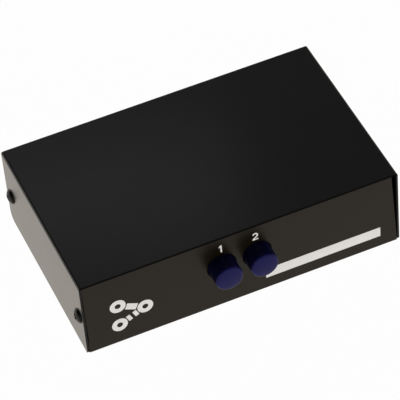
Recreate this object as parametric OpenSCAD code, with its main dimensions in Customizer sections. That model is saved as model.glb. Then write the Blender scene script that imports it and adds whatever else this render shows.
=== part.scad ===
// Two-way audio and video selector switch in a folded sheet-steel case, in millimetres.
// Seen from the front, +X is to the right, +Y to the back and +Z up. The origin is on the
// surface that the feet stand on, under the middle of the whole depth.

/* [Case] */
// Width over the cover's side walls
case_w = 130; // [128:1:170]
// Depth of the cover, from its front edge to its rear edge
case_d = 80.5; // [78:0.5:120]
// Height from the underside of the tray to the top of the cover
case_h = 36.3; // [33:0.1:60]
// How far the cover's side walls end above the underside of the tray
cover_lift = 0.8; // [0:0.1:2]
// Thickness of the sheet steel
sheet_t = 0.8; // [0.6:0.1:1.2]
// Inside radius of the folds
fold_r = 0.2; // [0.2:0.1:1]
// Gap between the tray and each side wall of the cover
tray_side_gap = 0.2; // [0.1:0.05:0.5]
// Gap between the panels' top edges and the underside of the cover
panel_top_gap = 0.3; // [0.1:0.1:1]
// How far the front and rear panels stand back from the cover's edges
panel_recess = 0.2; // [0.1:0.1:2]
// How much narrower the front panel is at its top right corner
panel_taper = 1.6; // [0.2:0.1:2]
// How much narrower the front panel is at its lower left corner
panel_left_taper = 0.4; // [0.1:0.1:0.6]
// Radius of the lower rear corners of the cover's side walls
cover_corner_r = 4; // [1:0.5:5]
// Radius of the lower front corners of those walls
cover_front_r = 1; // [0.2:0.1:3]

/* [Feet] */
// Diameter of a foot where it meets the tray
foot_d = 9; // [6:0.5:12]
// How much narrower a foot is where it stands
foot_draft = 1; // [0:0.5:2]
// Height of a foot
foot_h = 1.5; // [1:0.5:5]
// Distance of a foot's centre from the cover's sides and edges
foot_inset = 8.5; // [7:0.5:14]

/* [Cover screws] */
// Thread diameter of the cover and board screws
screw_d = 3; // [2.5:0.1:3.5]
// Diameter of the washer under a screw's head
screw_washer_d = 6.4; // [6:0.1:7]
// Thickness of that washer
screw_washer_t = 0.2; // [0.2:0.1:0.8]
// Diameter of the head
screw_head_d = 5.8; // [5:0.1:5.9]
// Height of the head's straight rim above its washer
screw_rim_h = 0.9; // [0.2:0.1:1]
// Height of the dome above that rim
screw_dome_h = 0.55; // [0.3:0.05:1]
// Length of a screw under its head
screw_len = 5; // [5:0.5:6]
// Distance of the front screws from the cover's front edge
screw_front_inset = 4.7; // [3.4:0.1:6]
// Distance of the rear screws from the cover's rear edge
screw_rear_inset = 4.8; // [4:0.1:8]
// Height of the front cover screws above the underside of the tray
screw_front_rise = 17.4; // [14:0.1:19]
// Height of the rear cover screws above the underside of the tray
screw_rear_rise = 16.2; // [14:0.1:19]
// Gap around a screw in its clearance hole
screw_hole_gap = 0.2; // [0.1:0.05:0.4]
// Width of each bar of the cross in a screw's head
cross_w = 0.9; // [0.6:0.1:1.2]
// Length of each bar of that cross
cross_len = 3; // [2.4:0.1:3.6]
// Depth of that cross
cross_depth = 0.9; // [0.5:0.1:1]
// Height of a screw tab
tab_h = 12; // [8:1:16]
// Sheet between a tab's screw and its free end
tab_margin = 4; // [3:0.5:6]

/* [Buttons] */
// Diameter of a button cap
cap_d = 11.2; // [9:0.1:12.5]
// How far a cap stands out in front of the cover
cap_out = 7.8; // [5:0.1:9]
// Length of a cap
cap_len = 12.8; // [11:0.1:13.5]
// Radius of the edge round a cap's face
cap_edge_r = 1; // [0.2:0.1:1.2]
// Wall of a cap's shell
cap_wall = 1.2; // [0.8:0.1:1.6]
// Diameter of the boss inside a cap that takes the plunger's stem
cap_boss_d = 6.2; // [5.4:0.1:6.4]
// Thickness of a cap behind its face
cap_face_t = 2; // [1.5:0.5:3]
// Gap between a cap and its hole in the front panel
cap_gap = 0.45; // [0.3:0.05:0.8]
// Distance between the two buttons
button_pitch = 14.5; // [13:0.5:20]
// Middle of the two buttons, from the middle of the case
button_x = -1.2; // [-10:0.1:10]
// Height of the buttons' axes above the underside of the tray
button_rise = 21; // [19:0.1:24]
// How far a button travels
button_travel = 4.5; // [3:0.1:6]

/* [Plungers] */
// Side of the square stem that a cap is pressed on
stem_w = 3.2; // [2.6:0.1:3.2]
// Length of that stem
stem_len = 8; // [6:0.5:8.5]
// Diameter of the round shank behind the stem
shank_d = 4.6; // [4.6:0.1:5]
// Diameter of the groove in the shank
groove_d = 3.6; // [3.2:0.1:4]
// Distance of the groove behind the cap
groove_set = 0.4; // [0.3:0.1:0.6]
// Width of the sliding bar behind the shank
bar_w = 7.2; // [6.8:0.1:7.6]
// Height of that bar
bar_h = 5.2; // [5:0.1:6]
// Width of the bar's tail to each side of its axis
tail_half_w = 2; // [1.8:0.1:2.2]
// How far the tail ends behind the latch plate
tail_out = 0.3; // [0.2:0.1:1]
// Outer diameter of a retaining clip
clip_d = 7.6; // [7.2:0.1:8]
// Thickness of a retaining clip
clip_t = 0.8; // [0.6:0.1:1]
// Width of a retaining clip's mouth
clip_mouth = 2.8; // [2.4:0.1:3]

/* [Springs] */
// Wire diameter of a return spring
return_wire_d = 0.5; // [0.4:0.05:0.5]
// Mean coil diameter of a return spring
return_coil_d = 5.8; // [5.6:0.1:6.4]
// Turns of a return spring
return_turns = 5; // [4:1:5]
// Wire diameter of the latch spring
latch_wire_d = 0.3; // [0.2:0.05:0.35]
// Mean coil diameter of the latch spring
latch_coil_d = 2.6; // [2.4:0.1:3]
// Turns of the latch spring
latch_turns = 5; // [4:1:5]
// Length of the latch spring at rest
latch_spring_len = 4.6; // [4.2:0.2:6]

/* [Switch] */
// Distance of the switch frame behind the front panel
frame_set = 12.5; // [12.2:0.1:16]
// Thickness of the switch frame
frame_t = 1; // [0.8:0.1:1.2]
// Width of a switch body
body_w = 12; // [11.6:0.1:13]
// Length of a switch body
body_len = 30; // [28:1:34]
// Height of a switch body above the buttons' axis
body_rise = 5.2; // [5:0.1:7]
// Thickness of the latch plate
latch_t = 0.6; // [0.4:0.1:0.8]
// Gap in front of and behind the latch plate
latch_gap = 0.6; // [0.4:0.1:1]
// How far the latch plate slides
latch_travel = 1.2; // [1:0.1:1.3]
// Height of the latch plate between the arms of the frame
latch_h = 9.6; // [8.4:0.2:10]
// Height of the latch plate's ends
latch_end_h = 6; // [4:0.2:6.4]
// How far the latch plate's ends reach past the arms of the frame
latch_reach = 1.6; // [1.4:0.1:2.5]
// Height of the tongue that goes into the latch spring
tongue_h = 1.6; // [1:0.1:1.6]
// Length of that tongue
tongue_len = 2.2; // [1.5:0.1:2.4]
// Width of the ear that the latch spring pushes on
ear_w = 5; // [4:0.5:6]
// How far that ear reaches below the buttons' axis
ear_drop = 2.5; // [2:0.5:4]
// Width of a leg of the frame
leg_w = 1.6; // [1.2:0.1:2]
// Distance of the legs from the ends of the switch bodies
leg_inset = 4; // [3:1:8]

/* [Contacts] */
// Contact pins in each of the two rows of a switch body
pin_count = 6; // [6]
// Distance between pins in a row
pin_pitch = 4; // [3.8:0.1:4.2]
// Distance between the two rows
pin_row_gap = 4; // [3.6:0.1:4.2]
// Width of a pin along its row
pin_w = 0.9; // [0.7:0.1:1]
// Thickness of a pin
pin_t = 0.5; // [0.4:0.1:0.6]
// How far pins and lugs come through the board
pin_stub = 1.8; // [1:0.1:2.5]
// Width of a sliding contact
slide_contact_w = 1.2; // [1:0.1:1.4]
// Height of a sliding contact
slide_contact_h = 0.9; // [0.7:0.1:1.2]
// How far a sliding contact reaches past the middle of each pin
slide_contact_over = 0.8; // [0.6:0.1:1]

/* [Board] */
// Thickness of the circuit board
board_t = 1.6; // [1:0.2:2]
// Gap between the board and the inside of each screw tab
board_side_gap = 3; // [2:0.5:4]
// How far the board reaches in front of the switch frame
board_front_margin = 2; // [1:0.5:4]
// Gap between the board and the rear panel
board_rear_gap = 0.8; // [0.5:0.1:2]
// Height of the standoffs
standoff_h = 9.8; // [7:0.1:10.5]
// Width of a standoff across its flats
standoff_af = 5.5; // [5.5:0.1:7]
// Diameter of a standoff's spigot in the tray's floor
spigot_d = 4.2; // [4:0.1:5]
// Depth of a standoff's thread
standoff_bore_len = 7; // [6:0.5:7]
// Distance of the board screws from the board's edges
board_screw_inset = 4; // [4:0.5:6]
// Distance of the rear board screws in front of the socket blocks
board_screw_set = 7; // [6:0.5:12]

/* [Sockets] */
// How far the sockets stand out behind the cover
jack_out = 7.5; // [6.5:0.5:9]
// Gap between the outer blocks and the inside of the screw tabs
block_side_gap = 5.9; // [5.5:0.1:8]
// Gap between neighbouring blocks
block_gap = 2.4; // [1:0.1:4]
// Height of the sockets' axes above the board
jack_rise = 8.4; // [7.6:0.1:10]
// Height of a block above the sockets' axes
block_rise = 5.6; // [5.4:0.1:7]
// Depth of a block
block_d = 10; // [9:0.5:12]
// Width of a block past its outer sockets' axes
block_edge = 5.8; // [5.4:0.1:6.6]
// Diameter of the boss round each socket
boss_d = 10.4; // [9.8:0.1:10.6]
// How far a boss comes out of the rear panel
boss_out = 0.4; // [0.2:0.1:1]
// Gap round a boss in the rear panel
boss_gap = 0.2; // [0.1:0.05:0.3]
// Outer diameter of a socket's sleeve
sleeve_d = 8.3; // [8.2:0.1:8.6]
// Wall of a sleeve
sleeve_t = 0.5; // [0.3:0.1:0.6]
// How deep a sleeve's rear end lies inside its block
sleeve_depth = 8; // [6:0.5:8.5]
// Outer diameter of a sleeve inside its boss
sleeve_root_d = 9.2; // [8.8:0.1:9.6]
// Width of the fingers and legs of an earth strap
lug_w = 1.2; // [1:0.1:1.5]
// Thickness of an earth strap
lug_t = 0.8; // [0.6:0.1:1]
// Height of the bar that joins the fingers of an earth strap
strap_h = 1.2; // [0.8:0.1:2]
// How far an insulator's face lies inside its sleeve
insulator_set = 0.3; // [0.1:0.1:1]
// Diameter of the hole in an insulator's face
insulator_hole_d = 3.4; // [3.3:0.1:3.6]
// Length of that hole
insulator_hole_len = 6.5; // [5:0.1:6.5]
// Diameter of an insulator's flange behind the block
flange_d = 9.4; // [8.8:0.1:10]
// Thickness of that flange
flange_t = 1; // [0.8:0.1:1.5]
// Outer diameter of a centre contact
contact_d = 4.2; // [4:0.1:4.6]
// Wall of a centre contact
contact_t = 0.6; // [0.5:0.05:0.7]
// Width of a centre contact's solder tail
contact_tail_w = 1.2; // [0.8:0.1:1.4]
// Thickness of that tail
contact_tail_t = 0.5; // [0.4:0.1:0.8]

/* [Fits] */
// Gap between pieces that are pressed, screwed or soldered together
fit_gap = 0.05; // [0.03:0.01:0.1]
// Gap round a plunger where it slides
slide_gap = 0.2; // [0.15:0.05:0.3]
// Gap between the latch plate and what it slides past
latch_fit = 0.15; // [0.1:0.05:0.3]
// Gap round a pin in its hole in the board
board_hole_gap = 0.15; // [0.1:0.05:0.3]

/* [Hidden] */
$fn = 64;
// Sides of a spring's wire and rings in each of its turns
WIRE_SIDES = 6;
TURN_STEPS = 12;
// How far a cutting shape runs past the face that it cuts
OVER = 1;
LEFT_RIGHT = [-1, 1];
key_count = 2;
block_count = 3;
jack_count = 3;
pin_set_count = 2;
KEYS = [0 : key_count - 1];
BLOCKS = [0 : block_count - 1];
JACKS = [0 : jack_count - 1];

// Heights
floor_z = foot_h + sheet_t;
cover_low_z = foot_h + cover_lift;
top_z = foot_h + case_h;
panel_h = case_h - sheet_t - panel_top_gap;
panel_top_z = foot_h + panel_h;
axis_z = foot_h + button_rise;
board_z = floor_z + standoff_h;
board_top_z = board_z + board_t;
pin_end_z = board_z - pin_stub;
jack_z = board_top_z + jack_rise;

// Widths
tray_w = case_w - 2 * (sheet_t + tray_side_gap);
board_w = tray_w - 2 * (sheet_t + board_side_gap);
frame_half_w = button_pitch / 2 + body_w / 2 + fit_gap;
frame_out_x = frame_half_w + frame_t;
block_row_w = tray_w - 2 * (sheet_t + block_side_gap);
block_w = (block_row_w - (block_count - 1) * block_gap) / block_count;
block_pitch = block_w + block_gap;
jack_pitch = (block_w - 2 * block_edge) / (jack_count - 1);
board_screw_x = board_w / 2 - board_screw_inset;
latch_end_x = frame_out_x + latch_reach;
ear_x = latch_end_x + latch_spring_len;

// Depths, from the front to the back
case_y = (cap_out - jack_out) / 2;
front_y = case_y - case_d / 2;
rear_y = case_y + case_d / 2;
panel_front_y = front_y + panel_recess;
panel_front_in_y = panel_front_y + sheet_t;
panel_rear_y = rear_y - panel_recess;
panel_rear_in_y = panel_rear_y - sheet_t;
cap_front_y = front_y - cap_out;
cap_rear_y = cap_front_y + cap_len;
clip_y = cap_rear_y + groove_set;
clip_rear_y = clip_y + clip_t;
frame_y = panel_front_in_y + frame_set;
body_y = frame_y + frame_t;
body_rear_y = body_y + body_len;
latch_y = body_rear_y + latch_gap;
latch_rear_y = latch_y + latch_t;
frame_rear_y = latch_rear_y + latch_gap;
tail_y = latch_rear_y + tail_out;
board_front_y = frame_y - board_front_margin;
board_rear_y = panel_rear_in_y - board_rear_gap;
block_rear_y = panel_rear_in_y - fit_gap;
block_y = block_rear_y - block_d;
boss_y = panel_rear_y + boss_out;
sleeve_y = block_rear_y - sleeve_depth;
lug_y = sleeve_y + lug_t;
jack_y = rear_y + jack_out;
insulator_y = jack_y - insulator_set;
pocket_y = insulator_y - insulator_hole_len;
flange_y = block_y - flange_t;
contact_tail_y = flange_y - contact_tail_t;
board_screw_ys = [board_front_y + board_screw_inset, block_y - board_screw_set];

// Y and Z of the cover screws on each side wall
front_screw_spot = [front_y + screw_front_inset, foot_h + screw_front_rise];
rear_screw_spot = [rear_y - screw_rear_inset, foot_h + screw_rear_rise];

// The latch tooth: a ramp that pushes the plate aside, a crest, and the notch the plate drops into
latch_ratio = latch_travel / button_travel;
crest_y = latch_y - (button_travel - latch_t - latch_fit);
notch_y = latch_y - button_travel - latch_fit;
crest_half_w = tail_half_w + latch_ratio * (latch_y - crest_y);

// Places
function key_x(key) = button_x + (key - (key_count - 1) / 2) * button_pitch;
function block_x(block) = ((block_count - 1) / 2 - block) * block_pitch;
function jack_x(block, jack) = block_x(block) + ((jack_count - 1) / 2 - jack) * jack_pitch;
function pin_y(pin) = body_y + body_len / 2 + (pin - (pin_count - 1) / 2) * pin_pitch;
function leg_ys() = [body_y + leg_inset, body_rear_y - leg_inset];
function sliding_contact_y(set) =
    pin_y(set * pin_count / pin_set_count) + pin_pitch / 2 - (button_travel - pin_pitch) / 2;
function hole_round(w, t) = norm([w, t]) + 2 * board_hole_gap;

// Points on the middle line of a coil that stands along Z
function coil_point(coil_d, wire_d, turns, length, step) =
    let (share = step / (turns * TURN_STEPS), angle = 360 * turns * share)
    [coil_d / 2 * cos(angle), coil_d / 2 * sin(angle), wire_d / 2 + (length - wire_d) * share];

function coil_ring(coil_d, wire_d, turns, length, step) =
    let (
        middle = coil_point(coil_d, wire_d, turns, length, step),
        angle = 360 * step / TURN_STEPS,
        lean = atan((length - wire_d) / turns / (PI * coil_d)),
        outward = [cos(angle), sin(angle), 0],
        upward = [sin(angle) * sin(lean), -cos(angle) * sin(lean), cos(lean)]
    )
    [for (side = [0 : WIRE_SIDES - 1])
        let (turn = 360 * side / WIRE_SIDES)
        middle + wire_d / 2 * (cos(turn) * outward + sin(turn) * upward)];

// Least distance between the surfaces of neighbouring turns
function coil_gap(coil_d, wire_d, turns, length) =
    min([for (step = [0 : (turns - 1) * TURN_STEPS])
        norm(coil_point(coil_d, wire_d, turns, length, step + TURN_STEPS)
            - coil_point(coil_d, wire_d, turns, length, step))]) - wire_d;

// Shapes used by several pieces

// A box from one place to another along Y, centred on the Y axis
module bar_along_y(w, h, from, to) {
    translate([-w / 2, from, -h / 2]) cube([w, to - from, h]);
}

// A round bar from one place to another along Y
module rod_along_y(d, from, to) {
    translate([0, from, 0]) rotate([-90, 0, 0]) cylinder(d = d, h = to - from);
}

// A box given by the lowest and the highest place of its corners
module block(low, high) {
    translate(low) cube(high - low);
}

// A rectangle on the line y = 0 with its two lower corners rounded
module round_footed(w, h, r) {
    translate([-w / 2, r]) square([w, h - r]);
    translate([-w / 2 + r, 0]) square([w - 2 * r, r]);
    for (side = LEFT_RIGHT) translate([side * (w / 2 - r), r]) circle(r);
}

// The section of a folded sheet, open at the top
module folded_section(w, h) {
    difference() {
        round_footed(w, h, fold_r + sheet_t);
        translate([0, sheet_t]) round_footed(w - 2 * sheet_t, h, fold_r);
    }
}

// A wound spring that stands along Z from 0
module coil_spring(coil_d, wire_d, turns, length) {
    steps = turns * TURN_STEPS;
    rings = [for (step = [0 : steps]) coil_ring(coil_d, wire_d, turns, length, step)];
    points = [for (ring = rings) each ring];
    start = [for (side = [1 : WIRE_SIDES - 2]) [0, side, side + 1]];
    last = steps * WIRE_SIDES;
    end = [for (side = [1 : WIRE_SIDES - 2]) [last, last + side + 1, last + side]];
    sides = [for (step = [0 : steps - 1], side = [0 : WIRE_SIDES - 1], half = [0, 1])
        let (
            here = step * WIRE_SIDES,
            beyond = here + WIRE_SIDES,
            next = (side + 1) % WIRE_SIDES
        )
        half == 0
            ? [here + side, beyond + side, beyond + next]
            : [here + side, beyond + next, here + next]];
    echo(least_gap_between_turns = coil_gap(coil_d, wire_d, turns, length));
    polyhedron(points, concat(start, sides, end));
}

// A screw with its head upwards and the underside of its head at 0
module cross_head_screw() {
    sphere_r = (pow(screw_head_d / 2, 2) + pow(screw_dome_h, 2)) / (2 * screw_dome_h);
    head_top = screw_washer_t + screw_rim_h + screw_dome_h;
    difference() {
        union() {
            translate([0, 0, -screw_len]) cylinder(d = screw_d, h = screw_len);
            cylinder(d = screw_washer_d, h = screw_washer_t);
            intersection() {
                translate([0, 0, head_top - sphere_r]) sphere(sphere_r);
                cylinder(d = screw_head_d, h = head_top);
            }
        }
        for (turn = [0, 90])
            rotate(turn)
                translate([-cross_len / 2, -cross_w / 2, head_top - cross_depth])
                    cube([cross_len, cross_w, cross_depth + OVER]);
    }
}

// Children at each cover screw, with +Z pointing out of the side wall
module at_cover_screws() {
    for (side = LEFT_RIGHT, spot = [front_screw_spot, rear_screw_spot])
        translate([side * case_w / 2, spot[0], spot[1]]) rotate([0, side * 90, 0]) children();
}

// Children at each board screw
module at_board_screws() {
    for (side = LEFT_RIGHT, y = board_screw_ys) translate([side * board_screw_x, y, 0]) children();
}

// Case

// What the rounding takes off a lower corner of both side walls, at the front with -1 or the rear with 1
module cover_corner_cut(end_y, away, r) {
    reach = away * (r + OVER);
    translate([0, end_y - away * r, cover_low_z + r])
        difference() {
            block([-case_w / 2 - OVER, min(0, reach), -r - OVER], [case_w / 2 + OVER, max(0, reach), 0]);
            rotate([0, 90, 0]) cylinder(r = r, h = case_w + 4 * OVER, center = true);
        }
}

module top_cover() {
    color("#262627")
    difference() {
        translate([0, rear_y, top_z])
            rotate([90, 0, 0])
                linear_extrude(case_d)
                    mirror([0, 1]) folded_section(case_w, case_h - cover_lift);
        cover_corner_cut(rear_y, 1, cover_corner_r);
        cover_corner_cut(front_y, -1, cover_front_r);
        at_cover_screws()
            translate([0, 0, -sheet_t - OVER / 2])
                cylinder(d = screw_d + 2 * screw_hole_gap, h = sheet_t + OVER);
    }
}

// The folded sheet of the tray before it is cut
module tray_sheet() {
    translate([-tray_w / 2, case_y, foot_h])
        rotate([90, 0, 90])
            linear_extrude(tray_w)
                folded_section(case_d - 2 * panel_recess, panel_h);
}

// A tab folded back from a panel's edge, with its outer face at the given side, its root in the
// panel's thickness from the panel's outer face on, and its screw at the given Y and Z
module screw_tab(side, outer_x, panel_y, spot) {
    away = sign(spot[0] - panel_y);
    end_y = spot[0] + away * tab_margin;
    difference() {
        block(
            [min(side * outer_x, side * (outer_x - sheet_t)), min(panel_y, end_y),
                spot[1] - tab_h / 2],
            [max(side * outer_x, side * (outer_x - sheet_t)), max(panel_y, end_y),
                spot[1] + tab_h / 2]
        );
        translate([side * outer_x, spot[0], spot[1]])
            rotate([0, 90, 0])
                cylinder(d = screw_d + 2 * fit_gap, h = 2 * (sheet_t + OVER), center = true);
    }
}

// The strips that the front panel lacks along its right and left edges
module panel_taper_cuts() {
    low_z = floor_z + fold_r;
    edge_x = tray_w / 2;
    translate([0, panel_front_in_y, 0])
        rotate([90, 0, 0])
            linear_extrude(sheet_t + OVER) {
                polygon([
                    [edge_x, low_z],
                    [edge_x + OVER, low_z],
                    [edge_x + OVER, panel_top_z + OVER],
                    [edge_x - panel_taper, panel_top_z + OVER],
                    [edge_x - panel_taper, panel_top_z]
                ]);
                polygon([
                    [-edge_x, panel_top_z],
                    [-edge_x - OVER, panel_top_z],
                    [-edge_x - OVER, foot_h - OVER],
                    [-edge_x + panel_left_taper, foot_h - OVER],
                    [-edge_x + panel_left_taper, low_z]
                ]);
            }
}

module tray() {
    color("#2b2927")
    difference() {
        union() {
            tray_sheet();
            screw_tab(-1, tray_w / 2, panel_front_y, front_screw_spot);
            screw_tab(1, tray_w / 2 - panel_taper, panel_front_y, front_screw_spot);
            for (side = LEFT_RIGHT) screw_tab(side, tray_w / 2, panel_rear_y, rear_screw_spot);
        }
        panel_taper_cuts();
        for (key = KEYS)
            translate([key_x(key), 0, axis_z])
                rod_along_y(cap_d + 2 * cap_gap, panel_front_y - OVER, panel_front_in_y + OVER);
        for (b = BLOCKS, jack = JACKS)
            translate([jack_x(b, jack), 0, jack_z])
                rod_along_y(boss_d + 2 * boss_gap, panel_rear_in_y - OVER, panel_rear_y + OVER);
        at_board_screws()
            translate([0, 0, foot_h - OVER])
                cylinder(d = spigot_d + 2 * fit_gap, h = sheet_t + 2 * OVER);
    }
}

module cover_screws() {
    color("#161617") at_cover_screws() cross_head_screw();
}

module rubber_feet() {
    color("#1a1a1a")
    for (side = LEFT_RIGHT, end = [front_y + foot_inset, rear_y - foot_inset])
        translate([side * (case_w / 2 - foot_inset), end, 0])
            cylinder(d1 = foot_d - foot_draft, d2 = foot_d, h = foot_h);
}

// Buttons and plungers

module button_cap(key) {
    cap_r = cap_d / 2;
    color("#2b2552")
    translate([key_x(key), 0, axis_z])
    difference() {
        translate([0, cap_front_y, 0])
            rotate([-90, 0, 0])
                rotate_extrude() {
                    translate([0, cap_edge_r]) square([cap_r, cap_len - cap_edge_r]);
                    square([cap_r - cap_edge_r, cap_edge_r]);
                    intersection() {
                        translate([cap_r - cap_edge_r, cap_edge_r]) circle(cap_edge_r);
                        square([cap_r, cap_len]);
                    }
                }
        difference() {
            rod_along_y(cap_d - 2 * cap_wall, cap_front_y + cap_face_t, cap_rear_y + OVER);
            rod_along_y(cap_boss_d, cap_front_y, cap_rear_y + OVER);
        }
        bar_along_y(stem_w + 2 * fit_gap, stem_w + 2 * fit_gap,
            cap_rear_y - stem_len - fit_gap, cap_rear_y + OVER);
    }
}

// Outline of the plunger's bar and tail from above, with the latch tooth on the right
module bar_outline() {
    bar_y = body_y + fit_gap;
    polygon([
        [-bar_w / 2, bar_y],
        [bar_w / 2, bar_y],
        [bar_w / 2, notch_y],
        [tail_half_w, notch_y],
        [tail_half_w, crest_y],
        [crest_half_w, crest_y],
        [tail_half_w, latch_y],
        [tail_half_w, tail_y],
        [-tail_half_w, tail_y],
        [-tail_half_w, notch_y],
        [-bar_w / 2, notch_y]
    ]);
}

// Children at the middle of each sliding contact, on the underside of a plunger's bar
module at_sliding_contacts() {
    for (row = LEFT_RIGHT, set = [0 : pin_set_count - 1])
        translate([row * pin_row_gap / 2, sliding_contact_y(set), -bar_h / 2]) children();
}

module plunger(key) {
    contact_len = pin_pitch + 2 * slide_contact_over;
    color("#e8e4d6")
    translate([key_x(key), 0, axis_z])
    difference() {
        union() {
            bar_along_y(stem_w, stem_w, cap_rear_y - stem_len, cap_rear_y + groove_set);
            rod_along_y(shank_d, cap_rear_y, clip_y - fit_gap);
            rod_along_y(groove_d, cap_rear_y, clip_rear_y + groove_set);
            rod_along_y(shank_d, clip_rear_y + fit_gap, body_y + frame_t);
            translate([0, 0, -bar_h / 2]) linear_extrude(bar_h) bar_outline();
        }
        at_sliding_contacts()
            block(
                [-slide_contact_w / 2 - fit_gap, -contact_len / 2 - fit_gap, -OVER],
                [slide_contact_w / 2 + fit_gap, contact_len / 2 + fit_gap, slide_contact_h]
            );
    }
}

module retaining_clip(key) {
    color("#a8a8a8")
    translate([key_x(key), 0, axis_z])
    difference() {
        rod_along_y(clip_d, clip_y, clip_rear_y);
        rod_along_y(groove_d + 2 * fit_gap, clip_y - OVER, clip_rear_y + OVER);
        block([-clip_mouth / 2, clip_y - OVER, 0], [clip_mouth / 2, clip_rear_y + OVER, clip_d]);
    }
}

module return_spring(key) {
    color("#b8b8b4")
    translate([key_x(key), clip_rear_y + fit_gap, axis_z])
        rotate([-90, 0, 0])
            coil_spring(return_coil_d, return_wire_d, return_turns, frame_y - clip_rear_y - 2 * fit_gap);
}

module sliding_contacts(key) {
    contact_len = pin_pitch + 2 * slide_contact_over;
    color("#c9a94f")
    translate([key_x(key), 0, axis_z])
        at_sliding_contacts()
            block(
                [-slide_contact_w / 2, -contact_len / 2, -slide_gap / 2],
                [slide_contact_w / 2, contact_len / 2, slide_contact_h - fit_gap]
            );
}

// Switch

module switch_body(key) {
    channel_h = bar_h + 2 * slide_gap;
    color("#20201f")
    translate([key_x(key), 0, 0])
    difference() {
        block([-body_w / 2, body_y, board_top_z], [body_w / 2, body_rear_y, axis_z + body_rise]);
        translate([0, 0, axis_z])
            bar_along_y(bar_w + 2 * slide_gap, channel_h, body_y - OVER, body_rear_y + OVER);
        for (row = LEFT_RIGHT, pin = [0 : pin_count - 1])
            translate([row * pin_row_gap / 2, pin_y(pin), 0])
                block(
                    [-pin_t / 2 - fit_gap, -pin_w / 2 - fit_gap, board_top_z - OVER],
                    [pin_t / 2 + fit_gap, pin_w / 2 + fit_gap, axis_z]
                );
    }
}

module switch_pins(key) {
    channel_floor_z = axis_z - bar_h / 2 - slide_gap;
    color("#cfc9a8")
    for (row = LEFT_RIGHT, pin = [0 : pin_count - 1])
        translate([key_x(key) + row * pin_row_gap / 2, pin_y(pin), 0])
            block([-pin_t / 2, -pin_w / 2, pin_end_z], [pin_t / 2, pin_w / 2, channel_floor_z]);
}

// The ear beside the frame that the latch spring pushes on, and the strip that carries it
module spring_ear() {
    middle_y = (latch_y + latch_rear_y) / 2;
    ear_top_z = axis_z + body_rise;
    block([frame_half_w, middle_y - ear_w / 2, ear_top_z - frame_t],
        [ear_x + frame_t, middle_y + ear_w / 2, ear_top_z]);
    block([ear_x, middle_y - ear_w / 2, axis_z - ear_drop],
        [ear_x + frame_t, middle_y + ear_w / 2, ear_top_z]);
}

module switch_frame() {
    top = axis_z + body_rise;
    window_w = bar_w + 2 * slide_gap;
    window_h = bar_h + 2 * slide_gap;
    color("#9a9c9e")
    translate([button_x, 0, 0])
    difference() {
        union() {
            block([-frame_out_x, frame_y, board_top_z], [frame_out_x, body_y, top]);
            block([-frame_out_x, frame_rear_y, board_top_z], [frame_out_x, frame_rear_y + frame_t, top]);
            for (side = LEFT_RIGHT) {
                inner_x = side * (frame_half_w + frame_t / 2);
                translate([inner_x, 0, 0]) {
                    block([-frame_t / 2, frame_y, board_top_z], [frame_t / 2, frame_rear_y + frame_t, top]);
                    for (y = leg_ys())
                        block([-frame_t / 2, y - leg_w / 2, pin_end_z], [frame_t / 2, y + leg_w / 2, top]);
                }
            }
            spring_ear();
        }
        for (key = KEYS)
            translate([key_x(key) - button_x, 0, axis_z]) {
                rod_along_y(shank_d + 2 * slide_gap, frame_y - OVER, body_y + OVER);
                bar_along_y(window_w, window_h, frame_rear_y - OVER, frame_rear_y + frame_t + OVER);
            }
        translate([0, 0, axis_z])
            block([-frame_out_x - OVER, latch_y - latch_fit, -latch_end_h / 2 - latch_fit],
                [frame_out_x + OVER, latch_rear_y + latch_fit, latch_end_h / 2 + latch_fit]);
    }
}

// A window in the latch plate for one plunger's tail. The plate is pushed by the first plunger's
// ramp. The second window is wide enough for that plunger's crest to pass while the plate is still.
module latch_window(key) {
    window_h = bar_h + 2 * slide_gap;
    left_x = tail_half_w + latch_travel + slide_gap;
    right_x = key == 0 ? tail_half_w + latch_fit : crest_half_w + slide_gap;
    translate([key_x(key) - button_x, 0, 0])
        block([-left_x, latch_y - OVER, -window_h / 2], [right_x, latch_rear_y + OVER, window_h / 2]);
}

module latch_plate() {
    color("#b4b6b8")
    translate([button_x, 0, axis_z])
    difference() {
        union() {
            block([-frame_half_w + latch_fit, latch_y, -latch_h / 2],
                [frame_half_w - latch_travel - latch_fit, latch_rear_y, latch_h / 2]);
            block([-latch_end_x, latch_y, -latch_end_h / 2],
                [latch_end_x, latch_rear_y, latch_end_h / 2]);
            block([latch_end_x - OVER, latch_y, -tongue_h / 2],
                [latch_end_x + tongue_len, latch_rear_y, tongue_h / 2]);
        }
        for (key = KEYS) latch_window(key);
    }
}

module latch_spring() {
    color("#b8b8b4")
    translate([button_x + latch_end_x + fit_gap, (latch_y + latch_rear_y) / 2, axis_z])
        rotate([0, 90, 0])
            coil_spring(latch_coil_d, latch_wire_d, latch_turns, latch_spring_len - 2 * fit_gap);
}

// Board

module board_hole(d) {
    translate([0, 0, board_z - OVER]) cylinder(d = d, h = board_t + 2 * OVER);
}

module main_board() {
    color("#1d5a34")
    difference() {
        block([-board_w / 2, board_front_y, board_z], [board_w / 2, board_rear_y, board_top_z]);
        at_board_screws() board_hole(screw_d + 2 * screw_hole_gap);
        for (key = KEYS, row = LEFT_RIGHT, pin = [0 : pin_count - 1])
            translate([key_x(key) + row * pin_row_gap / 2, pin_y(pin), 0])
                board_hole(hole_round(pin_w, pin_t));
        for (side = LEFT_RIGHT, y = leg_ys())
            translate([button_x + side * (frame_half_w + frame_t / 2), y, 0])
                board_hole(hole_round(leg_w, frame_t));
        for (b = BLOCKS, jack = JACKS)
            translate([jack_x(b, jack), 0, 0]) {
                translate([0, lug_y + lug_t / 2, 0]) board_hole(hole_round(lug_w, lug_t));
                translate([0, contact_tail_y + contact_tail_t / 2, 0])
                    board_hole(hole_round(contact_tail_w, contact_tail_t));
            }
    }
}

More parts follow.
